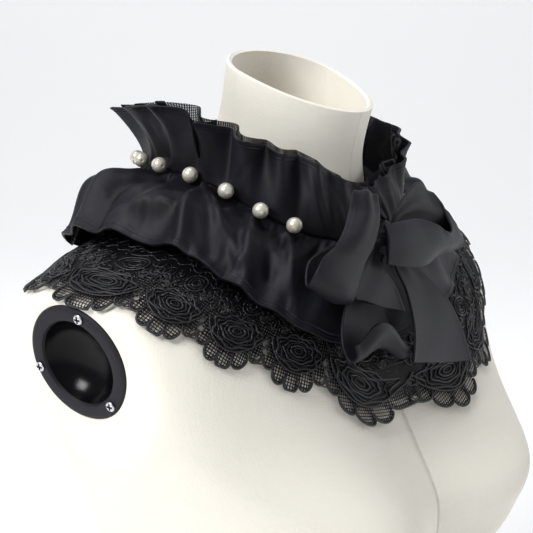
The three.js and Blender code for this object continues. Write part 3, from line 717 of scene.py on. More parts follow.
def ribbon_surface(table, pleats=0.0):
    """A ribbon through a table of sections, pleated where it leaves the knot."""

    def middle(u):
        place = u * (len(table) - 1)
        return stack(*[column(table, name, place) for name in ("x", "y", "z")])

    def surface(u, v):
        place = u * (len(table) - 1)
        half = stack(*[column(table, name, place) for name in ("hx", "hy", "hz")])
        w = 2 * v - 1
        bulge = unit(np.cross(middle(u + 0.004) - middle(u - 0.004), half))
        pleat = pleats * np.sin(w * 7 + 2.5 * u + 1) * bell(u, 0.3) + 0.5 * pleats * np.sin(w * 4 + 9 * u)
        bulge = bulge * (column(table, "cup", place) * (1 - w * w) + pleat)[..., None]
        arch = stack(0 * u, 0 * u, column(table, "arch", place) * (1 - w * w) ** 2)
        return middle(u) + half * w[..., None] + bulge + arch

    return surface


# Making meshes
def in_frame(points):
    """Points in the frame's metres, from millimetres measured from the neck point."""
    return points * MM + np.array([0, 0, form_sizes().neck_point])


def new_piece(name, points, faces, material, uv=None, marks=None):
    """A mesh object with a UV map and named values at its points."""
    mesh = bpy.data.meshes.new(name)
    mesh.from_pydata([], [], [])
    faces = np.asarray(faces)
    mesh.vertices.add(len(points))
    mesh.vertices.foreach_set("co", np.asarray(points, np.float32).ravel())
    corners = faces.shape[1]
    mesh.loops.add(faces.size)
    mesh.loops.foreach_set("vertex_index", faces.ravel().astype(np.int32))
    mesh.polygons.add(len(faces))
    mesh.polygons.foreach_set("loop_start", np.arange(0, faces.size, corners, dtype=np.int32))
    mesh.update(calc_edges=True)
    mesh.polygons.foreach_set("use_smooth", np.ones(len(faces), bool))
    if uv is not None:
        layer = mesh.uv_layers.new(name="Cloth")
        layer.data.foreach_set("uv", np.asarray(uv, np.float32)[faces.ravel()].ravel())
    for mark, values in (marks or {}).items():
        attribute = mesh.attributes.new(mark, "FLOAT", "POINT")
        attribute.data.foreach_set("value", np.asarray(values, np.float32).ravel())
    mesh.materials.append(material)
    mesh.validate()
    made = bpy.data.objects.new(name, mesh)
    bpy.context.scene.collection.objects.link(made)
    return made


def grid_faces(rows, wide, start=0, flip=False, closed=False):
    """Quads over rows of points, closed round if asked."""
    i, j = np.meshgrid(np.arange(rows - 1), np.arange(wide if closed else wide - 1), indexing="ij")
    a = start + i * wide + j
    b = start + i * wide + (j + 1) % wide
    faces = np.stack([a, b, b + wide, a + wide], -1).reshape(-1, 4)
    return faces[:, ::-1] if flip else faces


def lengths_along(points, axis):
    """Distances along the rows or columns of a grid of points, from the first one."""
    steps = np.linalg.norm(np.diff(points, axis=axis), axis=-1)
    start = np.zeros_like(np.take(steps, [0], axis=axis))
    return np.concatenate([start, np.cumsum(steps, axis=axis)], axis=axis)


def wall(name, top, under, across_row, material, marks=None):
    """A closed wall between two grids of points. across_row gives the UV map's distances across."""
    rows, wide = top.shape[:2]
    count = rows * wide
    border = np.concatenate([
        np.arange(wide - 1),
        np.arange(rows - 1) * wide + wide - 1,
        (rows - 1) * wide + np.arange(wide - 1, 0, -1),
        np.arange(rows - 1, 0, -1) * wide,
    ])
    following = np.roll(border, -1)
    edge = np.stack([border, border + count, following + count, following], -1)
    faces = np.concatenate([grid_faces(rows, wide), grid_faces(rows, wide, count, flip=True), edge])
    points = in_frame(np.concatenate([top.reshape(-1, 3), under.reshape(-1, 3)]))
    drop = lengths_along(top, 0)
    uv = np.stack([np.broadcast_to(across_row, drop.shape), drop], -1).reshape(-1, 2) * MM
    named = {key: np.concatenate([np.ravel(value)] * 2) for key, value in (marks or {}).items()}
    return new_piece(name, points, faces, material, np.concatenate([uv, uv]), named)


def cloth_piece(name, surface, across, down, thickness, material):
    """A piece of cloth on a surface, and its outer points. thickness is in millimetres."""
    u, v = np.meshgrid(across, down)
    half = np.broadcast_to(np.asarray(thickness, float), u.shape) / 2
    top = lifted(surface, u, v, half)
    under = lifted(surface, u, v, -half)
    return wall(name, top, under, lengths_along(top, 1).mean(axis=0), material), top


def cut_of(top):
    """A cloth piece's cut, in metres: its longest row and column, and its flat area."""
    down = top[1:, :-1] - top[:-1, :-1]
    across = top[:-1, 1:] - top[:-1, :-1]
    area = np.linalg.norm(np.cross(down, across), axis=-1).sum() * MM * MM
    long_side = np.linalg.norm(across, axis=-1).sum(axis=1).max() * MM
    wide_side = np.linalg.norm(down, axis=-1).sum(axis=0).max() * MM
    area = min(area, long_side * wide_side)
    return {"flat": (float(long_side), float(wide_side)), "area": float(area)}


def select_only(piece):
    """Makes one object the active and only selected one."""
    bpy.ops.object.select_all(action="DESELECT")
    piece.select_set(True)
    bpy.context.view_layer.objects.active = piece


def take_place(piece, *nodes, slot):
    """Puts a finished piece on the body, in the place of its solids."""
    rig.ride(piece, "root")
    if nodes:
        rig.replaces(piece, *nodes)
    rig.slot(piece, slot)
    return piece


# Shader maths
class Value:
    """One value of a shader, so that its maths reads as Python."""

    def __init__(self, finish, socket):
        self.finish = finish
        self.socket = socket

    def maths(self, operation, *others):
        """A Math node with this value first."""
        return self.finish.maths(operation, self, *others)

    def __add__(self, other):
        return self.maths("ADD", other)

    __radd__ = __add__

    def __sub__(self, other):
        return self.maths("SUBTRACT", other)

    def __rsub__(self, other):
        return self.finish.maths("SUBTRACT", other, self)

    def __mul__(self, other):
        return self.maths("MULTIPLY", other)

    __rmul__ = __mul__

    def __truediv__(self, other):
        return self.maths("DIVIDE", other)

    def from_thread(self):
        """How far this value is from the middle of its whole number, from 0 to half."""
        return (self.maths("FRACT") - 0.5).maths("ABSOLUTE")

    def step(self, low, high):
        """0 below low, 1 above high and soft between."""
        settings = {"interpolation_type": "SMOOTHSTEP"}
        values = {"Value": self, "From Min": low, "From Max": high}
        return self.finish.node("ShaderNodeMapRange", settings, values, "Result")


class Finish:
    """A material under way."""

    def __init__(self, name, **constants):
        self.material = bpy.data.materials.new(name)
        self.material.use_nodes = True
        self.tree = self.material.node_tree
        self.shader = self.tree.nodes["Principled BSDF"]
        for socket, value in constants.items():
            self.shader.inputs[socket.replace("_", " ")].default_value = value

    def put(self, value, socket):
        """A value or link into a node's socket."""
        if isinstance(value, Value):
            self.tree.links.new(value.socket, socket)
        elif isinstance(value, (tuple, list)) and len(value) == 3 and socket.type == "RGBA":
            socket.default_value = (*value, 1)
        else:
            socket.default_value = value

    def node(self, kind, settings=None, values=None, output=0):
        """One node: its settings first, then its sockets by name or number."""
        made = self.tree.nodes.new(kind)
        for key, value in (settings or {}).items():
            setattr(made, key, value)
        for key, value in (values or {}).items():
            self.put(value, made.inputs[key])
        return Value(self, made.outputs[output])

    def maths(self, operation, *values):
        """A Math node on up to three values."""
        return self.node("ShaderNodeMath", {"operation": operation}, dict(enumerate(values)))

    def noise(self, where, scale, detail=2, output="Fac", roughness=0.5):
        """Noise at a place, with scale in cells a metre."""
        values = {"Vector": where, "Scale": scale, "Detail": detail, "Roughness": roughness}
        return self.node("ShaderNodeTexNoise", None, values, output)

    def slubs(self, where, scale, detail=3):
        """Noise drawn out by a scale of its own along each axis."""
        drawn = self.node("ShaderNodeMapping", None, {"Vector": where, "Scale": scale})
        return self.noise(drawn, 1, detail)

    def blend(self, share, first, second):
        """A colour between two others."""
        made = self.tree.nodes.new("ShaderNodeMix")
        made.data_type = "RGBA"
        self.put(share, made.inputs[0])
        self.put(first, made.inputs[6])
        self.put(second, made.inputs[7])
        return Value(self, made.outputs[2])

    def bump(self, height, distance, strength=1.0):
        """Relief from a height of 0 to 1, with its depth in metres."""
        made = self.tree.nodes.new("ShaderNodeBump")
        made.inputs["Strength"].default_value = strength
        made.inputs["Distance"].default_value = distance
        self.put(height, made.inputs["Height"])
        self.tree.links.new(made.outputs["Normal"], self.shader.inputs["Normal"])

    def paint(self, socket, value):
        """A value or colour into the shader."""
        self.put(value, self.shader.inputs[socket])

    def shade(self, low, high, share):
        """A colour between two others into the base colour."""
        self.paint("Base Color", self.blend(share, low, high))

    def place(self):
        """Object coordinates, in metres."""
        return self.node("ShaderNodeTexCoord", None, None, "Object")

    def cloth(self):
        """The cloth's own coordinates, in metres across and down."""
        values = self.node("ShaderNodeUVMap", {"uv_map": "Cloth"})
        parts = self.tree.nodes.new("ShaderNodeSeparateXYZ")
        self.put(values, parts.inputs[0])
        return values, Value(self, parts.outputs[0]), Value(self, parts.outputs[1])

    def mark(self, name):
        """A named value of the mesh."""
        return self.node("ShaderNodeAttribute", {"attribute_name": name}, None, "Fac")


def tinted(base, red, green=None, blue=None):
    """A colour made lighter or darker, by one share or by one for each channel."""
    green = red if green is None else green
    blue = red if blue is None else blue
    return (red * base[0], green * base[1], blue * base[2])


def threads(across, down, pitch):
    """A plain weave's relief, from 0 to 1: threads cross over and under."""
    x = across * (math.pi / pitch)
    y = down * (math.pi / pitch)
    over = x.maths("SINE") * y.maths("SINE")
    warp = x.maths("COSINE").maths("ABSOLUTE")
    weft = y.maths("COSINE").maths("ABSOLUTE")
    share = over.step(-0.3, 0.3)
    return warp * share + weft * (1 - share)


SATIN_THREAD = 0.0005
SATIN_RELIEF = 0.00012


def satin_finish(name="satin"):
    """Charcoal-black satin: a soft broad sheen over a fine weave, dark in its folds."""
    finish = Finish(name, Specular_IOR_Level=0.33, Sheen_Weight=0.02, Sheen_Roughness=0.3)
    finish.shader.inputs["Sheen Tint"].default_value = (0.62, 0.64, 0.78, 1)
    uv, across, down = finish.cloth()
    cloud = finish.noise(uv, 28, 3)
    fine = finish.noise(uv, 1400, 2)
    slub = finish.slubs(uv, (900, 60, 1), 2)
    weave = threads(across, down, SATIN_THREAD)
    base = tuple(bpy.context.scene.finishes.satin)
    finish.shade(base, tinted(base, 2.2, 2.2, 2.7), cloud.step(0.25, 0.8))
    finish.paint("Roughness", 0.36 + 0.1 * cloud + 0.05 * fine)
    finish.bump(weave * 0.5 + slub * 0.5 + cloud * 1.5, SATIN_RELIEF)
    return finish.material


LINEN_THREAD = 0.0009
LINEN_RELIEF = 0.0003


def linen_finish():
    """The form's cream linen cover, with slubs in its weave, a few faint flecks and painted shade along its seams."""
    finish = Finish("linen", Specular_IOR_Level=0.25, Sheen_Weight=0.12, Sheen_Roughness=0.6)
    uv, across, down = finish.cloth()
    place = finish.place()
    cloud = finish.noise(place, 9, 4)
    fleck = finish.noise(place, 260, 3)
    long_slub = finish.slubs(uv, (40, 900, 1))
    tall_slub = finish.slubs(uv, (900, 40, 1))
    weave = threads(across, down, LINEN_THREAD)
    base = tuple(bpy.context.scene.finishes.linen)
    warm = tinted(base, 0.97, 0.93, 0.85)
    dark = tinted(base, 0.42, 0.36, 0.28)
    worn = finish.blend(cloud.step(0.35, 0.75) * 0.55, base, warm)
    threaded = finish.blend((long_slub * tall_slub).step(0.1, 0.5) * 0.25, warm, worn)
    # Painted shade darkens the cover along its seams, and random flecks darken it a little
    seam_shade_and_flecks = finish.mark("seam").step(0.25, 1.0) * 0.15 + fleck.step(0.7, 0.85) * 0.1
    finish.shade(threaded, dark, seam_shade_and_flecks)
    finish.paint("Roughness", 0.78 + 0.15 * fleck)
    finish.bump(weave * 0.25 + long_slub * 0.6 + tall_slub * 0.6 + fleck * 0.3, LINEN_RELIEF)
    return finish.material


LACE_RELIEF = 0.0008
TULLE_NET = 0.001
TULLE_RELIEF = 0.0006
HALF_HOLE = 0.34


def lace_finish(name, open_net=False):
    """Black lace thread with a dull gloss and pale specks of painted highlight. Its ground is an open net."""
    finish = Finish(name, Specular_IOR_Level=0.25 if open_net else 0.85)
    uv, across, down = finish.cloth()
    strand = finish.noise(uv, 1100, 3)
    cloud = finish.noise(uv, 160, 2)
    base = tuple(bpy.context.scene.finishes.lace)
    # Pale specks in the thread's colour are painted highlights
    finish.shade(base, tinted(base, 30), strand.step(0.64, 0.74))
    finish.paint("Roughness", 0.24 + 0.25 * cloud)
    finish.bump(strand, LACE_RELIEF)
    if open_net:
        pitch = collar_sizes().net
        half_open = finish.mark("open") * 0.5
        x = (across / pitch + 0.25 * cloud).from_thread()
        y = (down / pitch + 0.25 * strand).from_thread()
        finish.paint("Alpha", 1 - (half_open - x).step(0.0, 0.06) * (half_open - y).step(0.0, 0.06))
    return finish.material


def tulle_finish():
    """Black tulle with embroidered flowers: an open net, closed where it is stitched."""
    finish = Finish("tulle", Specular_IOR_Level=0.25)
    uv, across, down = finish.cloth()
    places = {"Vector": uv, "Scale": 38, "Randomness": 0.5}
    flowers = finish.node("ShaderNodeTexVoronoi", None, places, "Distance")
    strand = finish.noise(uv, 1000, 2)
    wobble = finish.noise(uv, 150, 2)
    rings = (flowers * 44 + wobble * 10).maths("SINE")
    stitched = rings.step(-0.1, 0.3) * (1 - flowers.step(0.4, 0.46))
    base = tuple(bpy.context.scene.finishes.lace)
    finish.shade(tinted(base, 1.6), tinted(base, 13, 13, 10), stitched)
    finish.paint("Roughness", 0.5 + 0.2 * strand)
    finish.bump(stitched * 0.8 + strand * 0.3, TULLE_RELIEF)
    x = (across / TULLE_NET).from_thread()
    y = (down / TULLE_NET).from_thread()
    hole = (HALF_HOLE - x).step(0.0, 0.1) * (HALF_HOLE - y).step(0.0, 0.1)
    finish.paint("Alpha", 1 - hole * (1 - stitched) * 0.85)
    return finish.material


PEARL_RELIEF = 0.00004
PLASTIC_RELIEF = 0.00015
STEEL_RELIEF = 0.00006
STUDIO_WHITE = (0.97, 0.98, 1, 1)


def pearl_finish():
    """An ivory pearl coat that mirrors its surroundings a little, with a faint change of tint."""
    finish = Finish("pearl", Metallic=0.4, Specular_IOR_Level=0.6, Coat_Weight=0.8, Coat_Roughness=0.08)
    cloud = finish.noise(finish.place(), 260, 2)
    base = tuple(bpy.context.scene.finishes.pearl)
    finish.shade(base, tinted(base, 0.95, 0.88, 0.8), cloud.step(0.35, 0.7))
    finish.paint("Roughness", 0.22 + 0.1 * cloud)
    finish.bump(cloud, PEARL_RELIEF)
    return finish.material


def plate_finish(name, gloss):
    """Moulded plastic, from matt at a gloss of 0 to glossy at 1."""
    finish = Finish(name, Specular_IOR_Level=mix(0.3, 0.22, gloss))
    place = finish.place()
    cloud = finish.noise(place, 60, 3)
    grain = finish.noise(place, 1500, 2)
    scuff = finish.slubs(place, (60, 900, 300))
    base = tinted(bpy.context.scene.finishes.plate, mix(1, 0.2, gloss))
    worn = cloud.step(0.3, 0.8) * 0.6 + scuff.step(0.62, 0.8) * 0.4
    finish.shade(base, tinted(base, 1.5), worn)
    finish.paint("Roughness", mix(0.5, 0.13, gloss) + 0.12 * cloud + 0.1 * scuff.step(0.55, 0.8))
    finish.bump(grain * (1 - 0.7 * gloss) + scuff * 0.3 + cloud * gloss, PLASTIC_RELIEF)
    return finish.material


def steel_finish():
    """Plated screw heads with turning marks."""
    finish = Finish("steel", Metallic=1.0)
    cloud = finish.noise(finish.place(), 700, 3)
    base = tuple(bpy.context.scene.finishes.steel)
    finish.shade(base, tinted(base, 0.5), cloud.step(0.55, 0.8) * 0.5)
    finish.paint("Roughness", 0.24 + 0.2 * cloud)
    finish.bump(cloud, STEEL_RELIEF)
    return finish.material


def paper_finish():
    """The pale floor and backdrop."""
    finish = Finish("paper", Roughness=0.9, Specular_IOR_Level=0.1, Emission_Strength=0.25)
    finish.shader.inputs["Emission Color"].default_value = STUDIO_WHITE
    base = tuple(bpy.context.scene.finishes.paper)
    finish.shade(base, tinted(base, 0.985), finish.noise(finish.place(), 3, 2) * 0.2)
    return finish.material


# The dress form
SEAM_AWAYS = [0, 180]
SIDE_SEAM_AWAYS = [100, 260]
FORM_COLUMNS = 264
FORM_ROWS = 132
SEAM_WIDTH = 0.2
SEAM_DEPTH = 0.3
SEAM_COLUMNS = (-0.75, -0.5, -0.3, -0.15, 0, 0.15, 0.3, 0.5, 0.75)
COLUMN_GAP = 0.4
SIDE_SEAM_START = 7.4
# Strength of the seams' painted shade inside the hollow neck
WELL_SEAM = 0.8
WELL_PLACES = 2.1
WELL_ROWS = 30
NECK_ROWS = 24
LIP_HEIGHT = 1.2
CLOTH_RADIUS = 110
END_RINGS = (0.02, 0.5)


def form_columns():
    """Angles round the form, closer together at its seams."""
    even = np.arange(FORM_COLUMNS) * 360 / FORM_COLUMNS
    close = [middle + offset for middle in SEAM_AWAYS + SIDE_SEAM_AWAYS for offset in SEAM_COLUMNS]
    apart = [a for a in even if min(abs(gone_round(a, c)) for c in close) > COLUMN_GAP]
    return np.array(sorted(apart + [c % 360 for c in close]))


def seam_depth(away, place):
    """How much of a seam runs through points of the form, from 0 to 1."""
    depth = 0 * place
    for middle in SEAM_AWAYS:
        depth = np.maximum(depth, bell(gone_round(away, middle), SEAM_WIDTH))
    below_arm = smooth((place - SIDE_SEAM_START) / 0.3)
    for middle in SIDE_SEAM_AWAYS:
        depth = np.maximum(depth, bell(gone_round(away, middle), SEAM_WIDTH) * below_arm)
    return depth


def form_cover():
    """The form's cover: up the hollow neck, over its rim, down to the base and under it."""
    aways = form_columns()
    last = len(FORM_RINGS) - 1
    away, place = np.meshgrid(aways, spread((0, 1, last), (NECK_ROWS, FORM_ROWS)))
    seam = seam_depth(away, place)
    outside = form_point(place, turn_of(away))
    normal = lifted(form_point, place, turn_of(away), 1.0) - outside
    outside = outside - normal * (SEAM_DEPTH * seam)[..., None]
    well_away, well_place = np.meshgrid(aways, np.linspace(WELL_PLACES, 0, WELL_ROWS))
    well = form_point(well_place, turn_of(well_away))
    share = 1 - form_sizes().neck_wall / MM / np.linalg.norm(well[..., :2], axis=-1)
    well = well * np.stack([share, share, np.ones_like(share)], -1)
    lip = mix(well[-1:], outside[:1], 0.5)
    lip[..., 2] += LIP_HEIGHT
    floor = [well[:1] * np.array([ring, ring, 1]) for ring in END_RINGS]
    base = [outside[-1:] * np.array([ring, ring, 1]) for ring in reversed(END_RINGS)]
    rows = np.concatenate([*floor, well, lip, outside, *base])
    plain = np.zeros((1, len(aways)))
    # The seam marks paint shade along the seams; inside the neck they run on where the cover has no groove
    well_seam = seam_depth(well_away, well_place) * WELL_SEAM
    marks = np.concatenate([plain, plain, well_seam, plain, seam, plain, plain])
    middles = rows.mean(axis=1)
    drop = np.cumsum(np.linalg.norm(np.diff(middles, axis=0, prepend=middles[:1]), axis=-1))
    uv = np.stack(np.meshgrid(np.radians(aways) * CLOTH_RADIUS, drop), -1).reshape(-1, 2) * MM
    points = in_frame(rows.reshape(-1, 3))
    faces = grid_faces(len(rows), len(aways), closed=True)
    piece = new_piece("form_cover", points, faces, linen_finish(), uv, {"seam": marks})
    close_ends(piece)
    return piece


def close_ends(piece):
    """Fills the open ends of a piece with a face each, and points all faces outward."""
    select_only(piece)
    bpy.ops.object.mode_set(mode="EDIT")
    bpy.ops.mesh.select_mode(type="VERT")
    bpy.ops.mesh.select_all(action="SELECT")
    bpy.ops.mesh.fill_holes(sides=0)
    bpy.ops.mesh.normals_make_consistent(inside=False)
    bpy.ops.object.mode_set(mode="OBJECT")


def plate_matrix(frame_of_plate, height=0.0):
    """The place of a thing that is drawn about the Z axis and belongs on an arm plate."""
    middle, facing, up, across = frame_of_plate
    matrix = Matrix([[*row] for row in np.stack([across, up, facing], 1)]).to_4x4()
    matrix.translation = Vector(in_frame(middle + facing * height))
    return matrix


def settle(piece, matrix):
    """Puts a piece's place into its mesh."""
    piece.data.transform(matrix)
    piece.matrix_world = Matrix.Identity(4)


def cut_away(piece, cutter, material_mode="INDEX"):
    """Cuts one object out of another, and removes the cutter."""
    select_only(piece)
    cut = piece.modifiers.new("Cut", "BOOLEAN")
    cut.operation = "DIFFERENCE"
    cut.solver = "EXACT"
    cut.material_mode = material_mode
    cut.object = cutter
    bpy.ops.object.modifier_apply(modifier=cut.name)
    bpy.data.objects.remove(cutter, do_unlink=True)


# Radius and height of the points along the section of a plate's pocket
POCKET = [(0, -18.2), (21, -18.2), (28.4, -9), (28.4, -1.8), (35.8, -1.8), (35.8, 30), (0, 30)]


def cut_pockets(piece):
    """Cuts the stepped round pockets that the arm plates sit in."""
    for plate in PLATES.values():
        cutter = spun("pocket", POCKET, piece.data.materials[0], 128)
        settle(cutter, plate_matrix(plate))
        cut_away(piece, cutter)


class COLLAR_OT_form(bpy.types.Operator):
    """Builds the linen-covered dress form with its hollow neck and seams"""

    bl_idname = "collar.form"
    bl_label = "Dress form"

    def execute(self, context):
        piece = form_cover()
        cut_pockets(piece)
        smooth_by_angle(piece, 40)
        take_place(piece, "form_body", slot="linen")
        return {"FINISHED"}


# Radius and height of the points round an arm plate's section, outward and back under
PLATE_RING = [
    (27.6, -1.4), (35.2, -1.4), (35.5, -1.0), (35.5, 0.4), (35.2, 1.0), (33.9, 1.75),
    (33.0, 1.9), (28.0, 1.9), (27.0, 1.7), (26.3, 0.9), (26.0, 0.0), (25.0, -1.9),
]
PLATE_BOWL = [
    (25.0, -1.9), (23.6, -4.6), (20.8, -8.2), (17.0, -11.2), (12.0, -13.5), (6.0, -14.7), (0.0, -15.0),
]
PLATE_BACK = [(0.0, -17.5), (10.5, -16.5), (19.5, -13.0), (25.0, -7.0), (27.6, -1.4)]
PLATE_TOP = 1.9
BOWL_INSIDE = {"radius": 25.9, "lowest": -15.5}
# The wedge pressed into each bowl, from its end near the middle to its end at the ring
NOTCH = [
    {"radius": 9.5, "half": 3.0, "low": -15.2, "high": -6},
    {"radius": 24.4, "half": 6.5, "low": -5.4, "high": 1},
]
NOTCH_TURN = math.radians(44)
SCREWS = 3
SCREW_TURN = math.radians(14)
# Radius and height of the points of a screw's head
SCREW_HEAD = [(0, 0), (2.6, 0), (3.0, 0.25), (3.0, 0.7), (2.7, 1.1), (1.9, 1.35), (0, 1.4)]
SLOT = {"reach": 4.2, "wide": 1.2, "deep": 1.2, "up": 1.3}


def linked(name, corners, edges, faces):
    """A new object in the scene, from corners in metres."""
    mesh = bpy.data.meshes.new(name)
    mesh.from_pydata(corners, edges, faces)
    piece = bpy.data.objects.new(name, mesh)
    bpy.context.scene.collection.objects.link(piece)
    return piece


def spun(name, profile, material, segments=96):
    """A closed solid from a section spun round the Z axis, in millimetres."""
    corners = [(radius * MM, 0, height * MM) for radius, height in profile]
    piece = linked(name, corners, [(k, k + 1) for k in range(len(profile) - 1)], [])
    select_only(piece)
    bpy.ops.object.mode_set(mode="EDIT")
    bpy.ops.mesh.select_all(action="SELECT")
    bpy.ops.mesh.spin(steps=segments, angle=TAU, center=(0, 0, 0), axis=(0, 0, 1))
    bpy.ops.mesh.select_all(action="SELECT")
    bpy.ops.mesh.remove_doubles(threshold=0.00001)
    bpy.ops.mesh.normals_make_consistent(inside=False)
    bpy.ops.object.mode_set(mode="OBJECT")
    piece.data.materials.append(material)
    return piece


def rounded(profile, times=2):
    """A section with more points on a smooth curve."""
    points = np.array(profile, float)
    for _ in range(times):
        middles = (points[:-1] + points[1:]) / 2
        both = np.empty((len(points) + len(middles), 2))
        both[::2], both[1::2] = points, middles
        both[2:-2:2] = both[2:-2:2] * 0.5 + (both[1:-3:2] + both[3:-1:2]) * 0.25
        points = both
    return [tuple(p) for p in points]


def smooth_by_angle(piece, degrees):
    """Shades a piece smooth, but for edges sharper than an angle."""
    select_only(piece)
    bpy.ops.object.shade_smooth_by_angle(angle=math.radians(degrees))


class COLLAR_OT_plates(bpy.types.Operator):
    """Builds the arm plates with their glossy bowls and screws"""

    bl_idname = "collar.plates"
    bl_label = "Arm plates"

    def execute(self, context):
        ring_finish = plate_finish("plate_ring", 0)
        bowl_finish = plate_finish("plate_bowl", 1)
        steel = steel_finish()
        # A near-black finish put into the screws' cross slots as painted shade
        slot_shade_finish = plate_finish("slot_shade_finish", 0)
        profile = PLATE_RING + rounded(PLATE_BOWL)[1:] + PLATE_BACK
        for side, plate in PLATES.items():
            piece = spun(f"plate_{side}", profile, ring_finish)
            piece.data.materials.append(bowl_finish)
            for face in piece.data.polygons:
                near = math.hypot(*face.center.xy) < BOWL_INSIDE["radius"] * MM
                if near and face.center.z > BOWL_INSIDE["lowest"] * MM:
                    face.material_index = 1
            self.notch(piece, side)
            smooth_by_angle(piece, 35)
            settle(piece, plate_matrix(plate))
            take_place(piece, f"arm_plate_{side}", slot="plate")
            self.screws(side, plate, steel, slot_shade_finish)
        return {"FINISHED"}

    def notch(self, piece, side):
        """Presses the wedge that an arm's peg locks into."""
        corners = [
            (end["radius"] * MM, across * end["half"] * MM, end[level] * MM)
            for end in NOTCH
            for across, level in ((-1, "low"), (1, "low"), (1, "high"), (-1, "high"))
        ]
        sides = [(0, 1, 2, 3), (7, 6, 5, 4), (0, 4, 5, 1), (1, 5, 6, 2), (2, 6, 7, 3), (3, 7, 4, 0)]
        cutter = linked("notch", corners, [], sides)
        cutter.data.materials.append(piece.data.materials[1])
        forward = NOTCH_TURN if side == "right" else math.pi - NOTCH_TURN
        settle(cutter, Matrix.Rotation(forward, 4, "Z"))
        select_only(cutter)
        bpy.ops.object.mode_set(mode="EDIT")
        bpy.ops.mesh.select_all(action="SELECT")
        bpy.ops.mesh.normals_make_consistent(inside=False)
        bpy.ops.object.mode_set(mode="OBJECT")
        cut_away(piece, cutter)

    def screws(self, side, plate, steel, slot_shade_finish):
        """Cross-head screws round a plate."""
        middle, facing, up, across = plate
        ahead = np.cross(up, facing) * (-1 if side == "left" else 1)
        circle = form_sizes().screw_circle / MM
        for number in range(SCREWS):
            angle = SCREW_TURN + TAU * number / SCREWS
            spot = middle + up * circle * math.cos(angle) + ahead * circle * math.sin(angle)
            screw = spun(f"screw_{side}_{number + 1}", SCREW_HEAD, steel, 32)
            self.cross_slot(screw, slot_shade_finish)
            smooth_by_angle(screw, 30)
            settle(screw, plate_matrix((spot, facing, up, across), PLATE_TOP + SEAM_GAP))
            take_place(screw, f"arm_screw_{side}_{number + 1}", slot="steel")

    def cross_slot(self, screw, slot_shade_finish):
        """Cuts the cross that a driver turns, and paints shade into it with a near-black finish on its faces."""
        reach, wide, deep, up = (SLOT[key] * MM for key in ("reach", "wide", "deep", "up"))
        for scale in ((reach, wide, deep), (wide, reach, deep)):
            bpy.ops.object.select_all(action="DESELECT")
            bpy.ops.mesh.primitive_cube_add(size=1, location=(0, 0, up))
            cutter = bpy.context.active_object
            cutter.scale = scale
            # The slot's faces take this near-black finish: painted shade
            cutter.data.materials.append(slot_shade_finish)
            bpy.ops.object.transform_apply(location=True, rotation=True, scale=True)
            cut_away(screw, cutter, "TRANSFER")


# The collar's cloth, in millimetres
BAND_CUT_WIDTH = 10.5
BAND_EDGES = (0.12, 0.88)
STITCH = 4.3
# Radius and height of the points of the button's section
BUTTON = [
    (0, 0), (2.6, 0), (3.0, 0.3), (3.0, 0.9), (2.75, 1.35), (2.35, 1.5), (2.0, 1.35), (1.7, 1.2), (0, 1.15),
]
BUTTON_HOLE = {"aside": 0.8, "radius": 0.4, "through": 10}


def hem_bulge(from_edge, width, height):
    """Extra thickness over a turned hem, with its row of stitches pulled in."""
    turned = 1 - smooth((from_edge - width) / 0.7)
    stitched = bell(from_edge - width * 0.8, 0.5)
    rolled = bell(from_edge, 1.1) * 0.7
    stitches = np.arange(from_edge.shape[1]) * TAU / STITCH
    pucker = 1 + 0.35 * np.sin(stitches) * np.sin(stitches * 0.37 + 1)
    return height * (turned * (1 - 0.9 * stitched) * pucker + rolled)


def from_last_row(surface, across, down):
    """Distance along each column of a surface from its last row."""
    along = lengths_along(surface(*np.meshgrid(across, down)), 0)
    return along[-1] - along


class COLLAR_OT_band(bpy.types.Operator):
    """Builds the neck band and the button at its back"""

    bl_idname = "collar.band"
    bl_label = "Neck band"

    def execute(self, context):
        sizes = collar_sizes()
        across = np.linspace(0, 1, 420)
        down = np.linspace(0, 1, 14)
        pulled_in = sum(bell(down - edge, 0.07) for edge in BAND_EDGES)[:, None]
        thickness = sizes.band / MM * (1 - 0.35 * pulled_in)
        band, _ = cloth_piece("band", band_surface, across, down, thickness, lace_finish("band"))
        take_place(band, "neck_band", slot="lace")
        cut = (TAU * sizes.seam_half, BAND_CUT_WIDTH * MM)
        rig.sheet(band, flat=cut, held="gathered", rests_on=["satin_capelet", "ruffle"])
        self.button()
        return {"FINISHED"}

    def button(self):
        """A small sewn button with a raised rim and two holes."""
        button = spun("button", BUTTON, plate_finish("button", 0.6), 48)
        aside, radius, through = (BUTTON_HOLE[key] * MM for key in ("aside", "radius", "through"))
        for x in (-aside, aside):
            bpy.ops.object.select_all(action="DESELECT")
            bpy.ops.mesh.primitive_cylinder_add(vertices=20, radius=radius, depth=through, location=(x, 0, 0))
            cutter = bpy.context.active_object
            bpy.ops.object.transform_apply(location=True, rotation=True, scale=True)
            cut_away(button, cutter)
        smooth_by_angle(button, 35)
        low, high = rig.box("band_button")
        spot = Vector(((low.x + high.x) / 2, high.y, (low.z + high.z) / 2))
        settle(button, Matrix.Translation(spot) @ Matrix.Rotation(math.radians(90), 4, "X"))
        take_place(button, "band_button", slot="plate")


class COLLAR_OT_capelet(bpy.types.Operator):
    """Builds the gathered satin capelet with its rolled hem"""

    bl_idname = "collar.capelet"
    bl_label = "Satin capelet"

    def execute(self, context):
        sizes = collar_sizes()
        across = np.linspace(0, 1, 601)
        down = spread((0, 0.2, 0.93, 1), (18, 34, 14))
        from_edge = from_last_row(capelet_surface, across, down)
        thickness = sizes.satin / MM * 0.6 + hem_bulge(from_edge, sizes.hem / MM, 1.0)
        satin = satin_finish()
        piece, top = cloth_piece("satin_capelet", capelet_surface, across, down, thickness, satin)
        take_place(piece, "capelet", slot="satin")
        under = ["lace_net_right", "lace_net_left", "band"]
        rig.sheet(piece, **cut_of(top), held="gathered", rests_on=under)
        return {"FINISHED"}


RUFFLE_HEM = 3.5
TULLE_TALLER = 2


